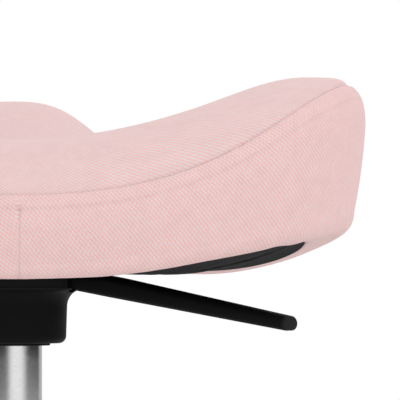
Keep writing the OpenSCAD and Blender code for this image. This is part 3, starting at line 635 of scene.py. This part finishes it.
def edge_curve(count):
    """Points on the smooth closed curve through the control points, both halves of the seat."""
    other = [(-row[0],) + row[1:] for row in EDGE[-2:0:-1]]
    loop = np.array(EDGE + other, float)
    n = len(loop)
    u = np.arange(count) * n / count
    i = u.astype(int)
    t = (u - i)[:, None]
    return (loop[(i - 1) % n] * (1 - t) ** 3 / 6 + loop[i % n] * (3 * t ** 3 - 6 * t * t + 4) / 6
            + loop[(i + 1) % n] * (-3 * t ** 3 + 3 * t * t + 3 * t + 1) / 6
            + loop[(i + 2) % n] * t ** 3 / 6)


RIM = edge_curve(AROUND)
RIM[:, 0] *= SEAT_W / np.ptp(RIM[:, 0])
RIM[:, 1] *= SEAT_L / np.ptp(RIM[:, 1])
SPOT = RIM[:, :2]
ALONG_RIM = np.roll(SPOT, -1, 0) - np.roll(SPOT, 1, 0)
OUT = np.column_stack([ALONG_RIM[:, 1], -ALONG_RIM[:, 0]])
OUT /= np.linalg.norm(OUT, axis=1)[:, None]
SEAM_Z, HEM_Z, TURN = RIM[:, 2] + RIM[:, 1] * PITCH, RIM[:, 3] + RIM[:, 1] * PITCH, RIM[:, 4]
# The hem is drawn up a little where it rounds the rear corners
HEM_LIFT, HEM_LIFT_X, HEM_LIFT_W = 1.0, 147, 9
HEM_Z = HEM_Z + (HEM_LIFT * np.exp(-((np.abs(SPOT[:, 0]) - HEM_LIFT_X) / HEM_LIFT_W) ** 2)
                 * (SPOT[:, 1] < -60))
TURN_Z = HEM_Z + RIM[:, 5]
DRAW = SIDE_DRAW * (SEAM_Z - HEM_Z)
UNDER = UNDER_ROLL * (SEAM_Z - HEM_Z)
# Distance round the rim from the rear centre, positive toward the sitter's right
STEP = np.linalg.norm(np.roll(SPOT, -1, 0) - SPOT, axis=1)
ROUND = np.concatenate([[0], np.cumsum(STEP)[:-1]])
RIM_L = STEP.sum()
ROUND = np.where(ROUND > RIM_L / 2, ROUND - RIM_L, ROUND)


def smooth(a):
    a = np.clip(a, 0, 1)
    return a * a * (3 - 2 * a)


def saddle(x, y):
    wing = WING_RISE * (np.abs(x) / WING_X) ** WING_POWER
    fall = NOSE_FALL * (np.abs(x) / NOSE_X) ** NOSE_POWER
    z = DISH_H + NOSE_RISE * smooth((y - 10) / 130) + REAR_RISE * smooth((10 - y) / 80)
    return z + y * PITCH + mix(wing, -fall, smooth(y / RIDGE_RUN))


def stack(xy, z):
    return np.column_stack([xy, np.broadcast_to(z, len(xy))])


def top_ring(t, deep):
    seam = SPOT - OUT * (ROLL_W + deep / 2)
    q = SEAT_CENTRE + (seam - SEAT_CENTRE) * t
    start = 0.627
    pull = max(0, (t - start) / (1 - start)) ** 2.6
    z = saddle(q[:, 0], q[:, 1]) + (SEAM_Z - SEAM_DIP - saddle(seam[:, 0], seam[:, 1])) * pull - deep
    return stack(q, z)


def roll_ring(a, deep):
    q = SPOT - OUT * (ROLL_W * (1 - math.sin(a)) + deep * math.sin(a))
    return stack(q, SEAM_Z - ROLL_H * (1 - math.cos(a)) - deep * math.cos(a))


def side_ring(v, deep):
    q = SPOT - OUT * (DRAW * v ** 1.5 + deep)[:, None]
    return stack(q, mix(SEAM_Z - ROLL_H, HEM_Z + UNDER, v))


def hem_ring(a, deep):
    q = SPOT - OUT * (DRAW + 0.8 * UNDER * (1 - math.cos(a)) + deep * math.cos(a))[:, None]
    return stack(q, HEM_Z + UNDER * (1 - math.sin(a)) + deep * math.sin(a))


def turn_ring(v, lift):
    hem = DRAW + 0.8 * UNDER
    q = SPOT - OUT * mix(hem, np.maximum(TURN, hem + 1), v)[:, None]
    return stack(q, mix(HEM_Z, TURN_Z, v) + lift)


def belly_ring(v, radius, lift):
    q = turn_ring(1, 0)
    a = np.arctan2(q[:, 1], q[:, 0])
    c = radius * np.column_stack([np.cos(a), np.sin(a)])
    w = v ** 2.5
    z = q[:, 2] * (1 - v) ** 1.8 - 4 * BELLY_SAG * w * (1 - w)
    return stack(mix(q[:, :2], c, v), z + lift)


def surface_normals(grid):
    """Normals of a grid of rings, outward for rings that lead down the outside."""
    across = np.gradient(grid, axis=0)
    along = np.roll(grid, -1, 1) - np.roll(grid, 1, 1)
    n = np.cross(along, across)
    length = np.linalg.norm(n, axis=2, keepdims=True)
    return -n / np.maximum(length, 1e-9)


def run_down(grid):
    """Distance travelled down each column of a grid of rings."""
    steps = np.linalg.norm(np.diff(grid, axis=0), axis=2)
    return np.concatenate([np.zeros((1, grid.shape[1])), np.cumsum(steps, axis=0)])


def ripple(u, lengths, phase):
    """A steady irregular ripple along u, of about unit height."""
    waves = [np.sin(2 * math.pi * u / length + phase * (k + 1)) for k, length in enumerate(lengths)]
    return sum(waves) / len(lengths)


def bell(x, width):
    return np.exp(-(x / width) ** 2)


SEAM_GROOVE, SEAM_GROOVE_W = 0.9, 1.3
ALLOWANCE = 9.3
CORNER, CORNER_W = 215, 45
SHOULDER, SHOULDER_X, SHOULDER_W = 2.0, 173.5, 10
LEFT_TURN = math.radians(14)


def corner(u, width=CORNER_W):
    """One where the rim rounds the rear corners, falling to none beside them."""
    return bell(np.abs(u) - CORNER, width)


def seam_groove(gap, u):
    """How deep the stitches pull the cloth at this distance from the seam."""
    return SEAM_GROOVE * bell(gap, SEAM_GROOVE_W) * (1 - 0.6 * corner(u))


def top_grid():
    """The top panel, from the middle out to its seam, with the pull of the stitches."""
    t = np.concatenate([np.linspace(0.02, 0.90, 54), np.linspace(0.91, 0.985, 14),
                        np.linspace(0.988, 1, 8)])
    grid = np.array([top_ring(v, 0) for v in t])
    out = run_down(grid)
    to_seam = out[-1] - out
    u = np.broadcast_to(ROUND, to_seam.shape)
    grid[:, :, 2] -= seam_groove(to_seam, u)
    grid[:, :, 2] += 0.14 * (ripple(u, (11.3, 7.9, 17.1), 1.7) * bell(to_seam, 7))
    # A fuller shoulder where the cloth turns over the wings
    over_wing = bell(np.abs(grid[:, :, 0]) - SHOULDER_X, SHOULDER_W)
    grid[:, :, 2] += SHOULDER * over_wing * (1 - bell(to_seam, 2.4))
    spokes = grid[:, :, :2] - SEAT_CENTRE
    reach = np.linalg.norm(spokes, axis=2, keepdims=True)
    cloth = spokes / reach * (out[:, :, None] + reach[0])
    # Pulled over the wings, the cloth gives, and its lines bend toward the width of the seat
    cloth[:, :, 0] = 0.51 * cloth[:, :, 0] + 31 * np.tanh(cloth[:, :, 0] / 42)
    # The third coordinate sets the painted seam shade on the top, narrower toward the wings
    return grid, np.dstack([cloth, to_seam * (0.5 + 0.4 * smooth((np.abs(u) - 90) / 70))])


def band_grid():
    """The side band, from its seam down to the turned hem."""
    rings = [roll_ring(a, 0) for a in np.radians(np.concatenate([[2, 4, 7, 10], np.arange(14, 91, 4)]))]
    rings = [stack(SPOT - OUT * ROLL_W, SEAM_Z - 0.05)] + rings
    rings += [side_ring(v, 0) for v in np.linspace(0, 1, 34)[1:]]
    rings += [hem_ring(a, 0) for a in np.radians(np.arange(6, 91, 6))]
    rings += [turn_ring(v, 0) for v in np.linspace(0, 1, 8)[1:]]
    grid = np.array(rings)
    down = run_down(grid)
    whole = down[-1]
    normal = surface_normals(grid)
    u = np.broadcast_to(ROUND, down.shape)
    push = -seam_groove(down, u)
    ridge = 0.5 * (1 - smooth((down - ALLOWANCE) / 1.5)) * smooth((down - 1.2) / 2)
    ridge = ridge * (1 - corner(u))
    push -= 0.7 * bell(down - 4, 5) * corner(u, 35)
    push += ridge * (1 + 0.3 * ripple(u, (9.1, 14.3, 23), 0.8))
    push += 0.12 * ripple(u, (10.7, 15.3, 7.7), 2.3) * bell(down, 9)
    # The join at the rear centre, with the dimple where it crosses the seam allowance
    inside = smooth((down - 1) / 3) * smooth((whole - down) / 4)
    push -= (0.12 * bell(u, 1.5) + 0.08 * bell(u, 5.5)) * inside
    push -= 1.1 * bell(u + 0.2, 1.5) * bell(down - ALLOWANCE - 1.2, 1.8)
    push += 0.16 * bell(np.abs(u) - 4.2, 2.4) * inside * (1 + 0.5 * ripple(down, (6.1, 9.7), 0.4))
    # The cloth lies a little uneven over the foam
    push += 0.16 * ripple(u + 0.6 * down, (71, 113, 43), 1.1) * smooth(down / 20)
    push += 0.10 * ripple(u, (13.1, 8.3, 21.7), 0.5) * bell(whole - down - TURN * 0.9, 9)
    grid = grid + normal * push[:, :, None]
    # The painted shade at the seam, with its thread, makes a line that is finer where the seam climbs
    # to the wings
    away = np.abs(u)
    to_seam = (0.35 + 0.4 * smooth((away - 90) / 70)) * down
    # A fainter painted shade line runs under the ridge of the seam allowance
    to_seam = np.minimum(to_seam, 0.585 + 0.05 * np.abs(down - ALLOWANCE - 1.3))
    # Thread and painted shade darken the join at the rear, below the allowance
    to_seam = np.minimum(to_seam, 0.33 * away + 0.49 + smooth((ALLOWANCE + 1 - down) / 1.5))
    # Past the rear the cloth lies a little closer, and round the corners it is drawn out lengthwise
    drawn = (away + 0.03 * (away - 50 + np.hypot(away - 50, 20))
             - 0.085 * (away - 130 + np.hypot(away - 130, 20)))
    return grid, np.dstack([np.sign(u) * drawn, down - 0.5 * SEAM_Z, to_seam])


# The fold in the lining, seen from above, on the sitter's right
CREASE = np.array([(92, -52), (103, -41), (114, -34), (126, -33), (136, -48), (143, -88), (147, -106)])


def past_crease(x, y):
    """Distance from the fold in the lining, less than none on the side of the rim."""
    best, side = np.full(x.shape, 1e9), np.zeros(x.shape)
    for (ax, ay), (bx, by) in zip(CREASE[:-1], CREASE[1:]):
        dx, dy = bx - ax, by - ay
        share = np.clip(((x - ax) * dx + (y - ay) * dy) / (dx * dx + dy * dy), 0, 1)
        gap = np.hypot(x - ax - share * dx, y - ay - share * dy)
        near = gap < best
        best = np.where(near, gap, best)
        side = np.where(near, np.sign((x - ax) * dy - (y - ay) * dx), side)
    return best * np.where(side == 0, 1, side)


def lining_grid():
    """The lining, from under the hem to the opening round the seat plate."""
    v = np.linspace(0, 1, 56)
    rings = [belly_ring(k, BELLY_R, 0) for k in v]
    rings += [belly_ring(1, r, 0) for r in np.linspace(BELLY_R, PLATE_R + 2, 8)[1:]]
    grid = np.array(rings)
    share = np.concatenate([v, np.ones(7)])[:, None]
    u = np.broadcast_to(ROUND, grid.shape[:2])
    loose = smooth((share - 0.02) / 0.1) * smooth((1 - share) / 0.2)
    grid[:, :, 2] += 0.15 * ripple(u, (31, 47, 19), 0.9) * loose
    past = past_crease(np.abs(grid[:, :, 0]), grid[:, :, 1])
    hangs = 0.5 * (1 - np.tanh(past / 0.9)) * bell(past, 14) * smooth((np.abs(grid[:, :, 0]) - 88) / 14)
    grid[:, :, 2] -= 0.7 * hangs * loose
    # The distance from the fold goes with the cloth, for the painted shade along the fold
    return grid, np.dstack([grid[:, :, :2], past])


def solid_rings(rings):
    """Points and faces of a body whose rings start and end round a point in the middle."""
    grid = np.array(rings)
    around = grid.shape[1]
    points = np.concatenate([grid.reshape(-1, 3), [grid[0].mean(0), grid[-1].mean(0)]])
    faces = [tuple(reversed(f)) for f in ring_faces(len(grid), around)]
    first, end = len(points) - 2, (len(grid) - 1) * around
    faces += [(first, i, (i + 1) % around) for i in range(around)]
    faces += [(first + 1, end + (i + 1) % around, end + i) for i in range(around)]
    return points + np.array([0, 0, BELLY_Z]), faces


def skin(outer, inner, cloth, looped=True):
    """Points, faces and cloth coordinates of a skin: its outer rings, then the inner ones back
    again. They close a loop, or else both start round a point in the middle."""
    rings = np.concatenate([outer, inner[::-1]])
    marks = np.concatenate([cloth, np.repeat(cloth[-1:], len(inner), axis=0)]).reshape(-1, 3)
    if looped:
        faces = [tuple(reversed(f)) for f in ring_faces(len(rings), rings.shape[1], closed=True)]
        return rings.reshape(-1, 3) + np.array([0, 0, BELLY_Z]), faces, marks
    far_from_seam = [0, 0, 99]
    return *solid_rings(rings), np.concatenate([marks, [far_from_seam, far_from_seam]])


def down_side(first_angle, deep):
    """Rings this deep in the cover, from its roll to its hem."""
    return ([roll_ring(a, deep) for a in np.radians(np.arange(first_angle, 91, 15))]
            + [side_ring(v, deep) for v in np.linspace(0, 1, 10)[1:]]
            + [hem_ring(a, deep) for a in np.radians(np.arange(15, 91, 15))])


def make_seat():
    outer, cloth = top_grid()
    inner = np.array([top_ring(t, FABRIC_T) for t in np.linspace(0.02, 1, 30)])
    inner[-1, :, 2] -= 1.2
    points, faces, marks = skin(outer, inner, cloth, looped=False)
    # The top's salmon is paler and greyer than the band's: painted sheen of the fuzz, seen at a grazing
    # angle
    twill = pink_twill("pink_twill_top", -33, linear(242, 188, 180))
    top = new_piece("seat_top_panel", points, faces, twill, "seat", "seat_fabric", marks)
    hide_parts("top_cover")

    outer, cloth = band_grid()
    # The band is cut in two lengths that meet at the rear, and the left one's cloth is turned
    left = cloth[:, :, 0] < 0
    c, s = math.cos(LEFT_TURN), math.sin(LEFT_TURN)
    x, y = cloth[:, :, 0].copy(), cloth[:, :, 1].copy()
    cloth[:, :, 0] = np.where(left, x * c - y * s, x)
    cloth[:, :, 1] = np.where(left, x * s + y * c, y)
    inner = [stack(SPOT - OUT * (ROLL_W + 0.2), SEAM_Z - 3.2)]
    inner += down_side(45, FABRIC_T) + [turn_ring(v, FABRIC_T) for v in (0.3, 0.6, 1)]
    points, faces, marks = skin(outer, np.array(inner), cloth)
    twill = pink_twill("pink_twill_band", 50, linear(244, 181, 171))
    band = new_piece("seat_side_band", points, faces, twill, "seat", "seat_fabric", marks)
    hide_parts("side_band")

    outer, cloth = lining_grid()
    inner = outer[[0, 6, 12, 20, 30, -1]] + np.array([0, 0, FABRIC_T])
    points, faces, marks = skin(outer, inner, cloth)
    lining = new_piece("seat_lining", points, faces, lining_cloth(), "seat", "underside_fabric", marks)
    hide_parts("under_cover")


def foam_piece():
    """The foam inside the covers, with the shape that the covers leave it."""
    deep = FABRIC_T + EASE
    core = deep + SHELL_T + EASE
    rings = [top_ring(t, deep) for t in np.linspace(0.03, 1, 24)]
    rings += down_side(15, deep) + [turn_ring(1, deep), turn_ring(1, core)]
    rings += [belly_ring(v, BELLY_R, core) for v in np.linspace(0, 1, 10)[1:]]
    rings += [belly_ring(1, r, core) for r in (50, 25, 2)]
    foam = new_piece("seat_foam", *solid_rings(rings), foam_stuff(), "seat", "foam")
    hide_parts("foam_core")


def shell_piece():
    """The moulded shell between the lining and the foam, bored for the tee nuts."""
    under = FABRIC_T + EASE
    upper = under + SHELL_T
    down = [belly_ring(v, BELLY_R, upper) for v in np.linspace(1, 0, 14)[:-1]]
    rings = [belly_ring(1, r, upper) for r in (2, 25, 50)] + down
    rings += [turn_ring(1, upper - 1), turn_ring(1, under + 1)]
    rings += [ring - [0, 0, SHELL_T] for ring in down[::-1]]
    rings += [belly_ring(1, r, under) for r in (50, 25, 2)]
    plastic = moulded("shell_plastic", linear(88, 88, 92), 0.55)
    shell = new_piece("seat_pan", *solid_rings(rings), plastic, "seat", "seat_shell")
    cut(shell, rods_round("barrel", 4, SCREW_TURN, SCREW_R, BELLY_Z - 2, BELLY_Z + upper + 3, 4.02))
    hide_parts("seat_shell")


# The hub and the lever

def make_hub():
    """The moulded cup under the seat, with its collar, flare, rim and lever slot."""
    bore, guide = TUBE_R + 0.1, 8.2
    flare = [(27.6 + 7.4 * (1 - math.cos(a)), 20.8 + 9.2 * math.sin(a))
             for a in np.linspace(0, math.pi / 2, 25)[:-3]]
    r, z = flare[-1]
    outline = fillet(
        [(bore, 0, 0.4), (18.4, 0, 1.1), (18.4, 1.2, 0.25), (27, 1.2, 4.0)] + flare
        + [(r - 0.05, z + 0.3, 0.1), (r + 0.4, z + 0.5, 0.1), (34.9, 30.45, 0.2), (35, 31.5, 0.3),
           (34.75, 31.8, 0.3), (34.7, HUB_TOP, 0.3), (guide, HUB_TOP), (guide, 26.3), (bore, 26.3)])
    # Above its rim the cup is painted 1.7 times lighter: painted light on the neck, which lies in the
    # seat's shade
    hub = lathe("hub_cup", [(q[0], q[1] + HUB_Z) for q in outline],
                moulded("hub_nylon", linear(24, 24, 25), 0.5, specular=0.03,
                        painted_light=((0, 0, 1), HUB_Z + 29.8, HUB_Z + 30.6, 1.7)), "seat", "black_nylon")
    cut(hub, [box_tool("slot", (-guide, -7, 28.8), (30.5, 7, 45)),
              box_tool("slot_mouth", (30, -7, 31.2), (40, 7, 45)),
              box_tool("slot_foot", (30, -2.7, 28.8), (40, 7, 31.4)),
              rod_tool("pin_bore", (PIN_X, -17.3, PIN_Z), (PIN_X, 60, PIN_Z), 2.05, AT_LEVER)])
    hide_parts("hub")


def make_lever():
    """The moulded grip: a flat bar with soft edges that thins and droops toward its end."""
    swell, end_r, corner_steps = 26, 1.2, 6

    def rounded(gap):
        """What the round of an end takes off at this distance from it."""
        return end_r * (1 - math.sqrt(1 - (1 - gap / end_r) ** 2)) if gap < end_r else 0

    rings = []
    for x in np.concatenate([LEVER_START + np.array([0, 0.25, 0.7, 1.4]), np.linspace(41, 155, 40),
                             LEVER_REACH - np.array([4.4, 3.4, 2.5, 1.8, 1.2, 0.7, 0.35, 0.12, 0])]):
        foot = LEVER_FOOT - (x - LEVER_START) * LEVER_FALL
        share = (x - LEVER_START - swell) / (LEVER_REACH - LEVER_START - swell)
        thick = mix(LEVER_T, LEVER_END_T, max(0, share))
        # Next to the hub its top stays clear of the seat plate, also when it is pulled
        if x < PLATE_R + 2:
            thick = min(thick, HUB_TOP - 0.25 - (x - PIN_X) * math.sin(LEVER_SWING) - foot)
        half_w = LEVER_W / 2 * mix(0.8, 1, float(smooth((x - LEVER_START) / 24)))
        half_w -= rounded(LEVER_REACH - x)
        half_t = thick / 2 - rounded(LEVER_REACH - x) - rounded(x - LEVER_START)
        radius, wide = min(3.7, half_t * 0.94), min(6.0, half_w * 0.9)
        middle = foot + thick / 2
        ring = []
        for cx, cz, start in ((1, -1, -90), (1, 1, 0), (-1, 1, 90), (-1, -1, 180)):
            for k in range(corner_steps + 1):
                a = math.radians(start + 90 * k / corner_steps)
                ring.append((x, cx * (half_w - wide) + wide * math.cos(a),
                             middle + cz * (half_t - radius) + radius * math.sin(a)))
        rings.append(ring)
    around = len(rings[0])
    points = [AT_LEVER @ Vector(q) for ring in rings for q in ring]
    faces = ring_faces(len(rings), around)
    last = (len(rings) - 1) * around
    faces += [tuple(range(around - 1, -1, -1)), tuple(range(last, last + around))]
    outward = (math.cos(LEVER_YAW), -math.sin(LEVER_YAW), 0)
    # Its end face is painted twice as light: a painted highlight where the end catches the light
    nylon = moulded("lever_nylon", linear(23, 23, 24), 0.55, specular=0.03,
                    painted_light=(outward, LEVER_REACH - 1.6, LEVER_REACH - 0.3, 2.0))
    grip = new_piece("lever_handle", points, faces, nylon, "lever", "lever_nylon", sharp=50)
    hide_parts("lever_grip")


# The column

def tube_outline(radius, wall, foot, top, foot_edge, top_edge):
    """The outline of a tube's wall. Its long sides are divided, so that shading stays even."""
    outline = fillet([(radius - wall, foot, 0.3), (radius, foot, foot_edge), (radius, top, top_edge),
                      (radius - wall, top, 0.3)], 3)
    made = []
    for k, here in enumerate(outline):
        after = outline[(k + 1) % len(outline)]
        parts = 12 if np.linalg.norm(after - here) > 50 else 1
        made += [here * (1 - s / parts) + after * s / parts for s in range(parts)]
    return made


def make_column():
    outline = tube_outline(TUBE_R, 1.5, low("pressure_tube").z, high("pressure_tube").z, 0.6, 0.4)
    tube = lathe("lift_tube", outline, satin_tube(), "seat", "satin_tube", around=256)
    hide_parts("pressure_tube")

    outline = tube_outline(COLUMN_R, 2, low("column_tube").z, COLUMN_TOP, 0.5, 0.5)
    column = lathe("outer_column", outline, coated("column_coat", linear(30, 30, 31), 0.36), "base",
                   "column_black", around=256)
    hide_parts("column_tube")

    inner, outer, rise = COLUMN_R + 0.02, COLUMN_R + 1.62, high("trim_ring").z - COLUMN_TOP
    outline = fillet([(inner, -10, 0.2), (outer, -10, 0.5), (outer, -0.9, 0.15),
                      (outer - 0.35, -0.7, 0.1), (outer - 0.35, -0.3, 0.1), (outer, -0.1, 0.15),
                      (outer, rise, 1.3), (TUBE_R + 1.4, rise, 0.4), (TUBE_R + 0.3, rise - 0.9, 0.3),
                      (TUBE_R + 0.3, 0, 0.2), (inner, 0)])
    ring = lathe("column_ring", [(q[0], q[1] + COLUMN_TOP) for q in outline],
                 moulded("ring_nylon", linear(27, 27, 28), 0.4), "base", "black_nylon", around=200)
    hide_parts("trim_ring")


# The base

ROCK = math.tan(math.radians(8))
FOOT_R, SHELL_R, SOCKET_R, SOCKET_TOP, SWEEP_R = 95, BASE_R - 4, 34, 96, 20
TREAD_T, FLOOR_T, WALL = 4, 2.5, 6
BOLT_RING, BOLT_HOLE_R = 84, 5.25


def under_z(r):
    return max(0, (r - FOOT_R) * ROCK)


def crown_z(r):
    return 34 + 16 * (1 - ((r - SOCKET_R) / (SHELL_R - SOCKET_R)) ** 2)


def make_base():
    seat_z = TREAD_T + FLOOR_T
    sweep = crown_z(SOCKET_R + SWEEP_R)

    def face(inset, count):
        """The dome from its rim to the socket, so far inside the outer face."""
        made = [(r, crown_z(r) - inset)
                for r in np.linspace(SHELL_R - inset, SOCKET_R + SWEEP_R, count)]
        for a in np.linspace(0, math.pi / 2, 14)[1:]:
            made.append((SOCKET_R + SWEEP_R * (1 - math.sin(a)),
                         sweep - inset + (SWEEP_R + inset) * (1 - math.cos(a))))
        return made

    outside = face(0, 40)
    outside[0] = outside[0] + (3,)
    inside = [q for q in face(WALL, 16) if q[0] > SOCKET_R + 1][::-1]
    bolt_face = [(11, seat_z), (SOCKET_R, seat_z), (SOCKET_R, crown_z(SOCKET_R) - WALL)]
    rim = [(SHELL_R - WALL, under_z(SHELL_R - WALL) + seat_z),
           (SHELL_R - 1, under_z(SHELL_R - 1) + seat_z), (SHELL_R - 1, under_z(SHELL_R) + TREAD_T),
           (SHELL_R, under_z(SHELL_R) + TREAD_T, 0.4)]
    # A fine shadow line runs round the socket under its top
    socket = [(SOCKET_R, SOCKET_TOP - 7.4, 0.15), (SOCKET_R - 0.7, SOCKET_TOP - 7.2, 0.1),
              (SOCKET_R - 0.7, SOCKET_TOP - 6.4, 0.1), (SOCKET_R, SOCKET_TOP - 6.2, 0.15),
              (SOCKET_R, SOCKET_TOP, 2.2), (COLUMN_R + 0.9, SOCKET_TOP, 0.3),
              (COLUMN_R + 0.02, SOCKET_TOP - 0.9), (COLUMN_R + 0.02, 12), (11, 12)]
    shell = lathe("base_dome", fillet(bolt_face + inside + rim + outside + socket), base_plastic(),
                  "base", "base_nylon", around=288, sharp=32)
    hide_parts("base_shell")

    def groove(r, width=3.0, depth=1.3):
        a, b = r - width / 2, r + width / 2
        return [(a - 0.01, under_z(a), 0.3), (a + 0.4, under_z(a) + depth, 0.3),
                (b - 0.4, under_z(b) + depth, 0.3), (b + 0.01, under_z(b), 0.3)]

    under = [(24, 0, 0.8)]
    for r in (34, 44, 54, 64):
        under += groove(r)
    under += [(FOOT_R, 0)]
    for r in range(105, 186, 10):
        under += groove(r)
    edge_z = under_z(BASE_R - 1)
    lip = under_z(BASE_R) + 9
    side = [(BASE_R - 1, edge_z, 0.6), (BASE_R, edge_z + 1.2, 0.6)]
    for z in (lip - 5.8, lip - 3.4):
        side += [(BASE_R, z, 0.2), (BASE_R - 0.7, z + 0.3, 0.15), (BASE_R - 0.7, z + 0.8, 0.15),
                 (BASE_R, z + 1.1, 0.2)]
    side += [(BASE_R, lip, 1.0), (SHELL_R + 0.03, lip, 0.5),
             (SHELL_R + 0.03, under_z(SHELL_R) + TREAD_T), (FOOT_R, TREAD_T), (24, TREAD_T, 0.8)]
    tread = lathe("rocking_tread", fillet(under + side, 4), tread_rubber(), "base", "tread_rubber",
                  around=288, sharp=32)
    cut(tread, rods_round("hole", 6, 0, BOLT_RING, -2, TREAD_T + 2, BOLT_HOLE_R))
    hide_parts("tread_pad")


def finish_frame():
    """Materials of the CAD nodes that stay as they are."""
    zinc, bright = (0.62, 0.61, 0.58, 1), (0.72, 0.72, 0.72, 1)
    finish_node("seat_plate", coated("plate_coat", linear(26, 26, 27), 0.42))
    finish_node("seat_screws", coated("black_oxide", linear(30, 30, 31), 0.38))
    finish_node("lever_arm", moulded("arm_coat", linear(13, 13, 14), 0.6, 0.00006, 900, 0.05))
    finish_node("guide_bush", moulded("bush_nylon", linear(40, 40, 41), 0.5))
    finish_node("piston_seal", moulded("seal_rubber", linear(30, 30, 30), 0.75))
    finish_node("rod_buffer", moulded("buffer_rubber", linear(34, 34, 34), 0.8, 0.00005, 1400))
    finish_node("ballast_ring", metal("cast_iron", (0.20, 0.195, 0.19, 1), 0.62, grain_scale=260,
                                      grain=0.0003, tone_spread=0.3))
    for name in ("tee_nuts", "hub_screws", "plate_bolts", "valve_body", "end_plate"):
        finish_node(name, metal(name + "_zinc", zinc, 0.38, grain_scale=420, tone_spread=0.16))
    finish_node("bottom_plate", metal("plate_zinc", zinc, 0.42, (1, 12, 1), 160, 0.00002, 0.08, 0.2))
    for name in ("lever_pivot", "piston", "upper_washer", "lower_washer", "rod_clip"):
        finish_node(name, metal(name + "_steel", bright, 0.26, (1, 1, 6)))
    finish_node("ball_cage", metal("ball_steel", bright, 0.12, grain_scale=300, spread=0.03,
                                   tone_spread=0.05))
    finish_node("piston_rod", metal("rod_chrome", (0.82, 0.82, 0.82, 1), 0.08, (1, 1, 8), 500, 0.000004,
                                    0.03, 0.04))
    for name in ("valve_pin", "rod_guide"):
        finish_node(name, metal(name + "_brass", (0.72, 0.56, 0.26, 1), 0.3, (1, 1, 6)))


make_camera()
make_world()
make_lights()
make_cards()
make_floor()
make_seat()
foam_piece()
shell_piece()
make_hub()
make_lever()
make_column()
make_base()
finish_frame()

bpy.context.scene.view_settings.view_transform = "Standard"
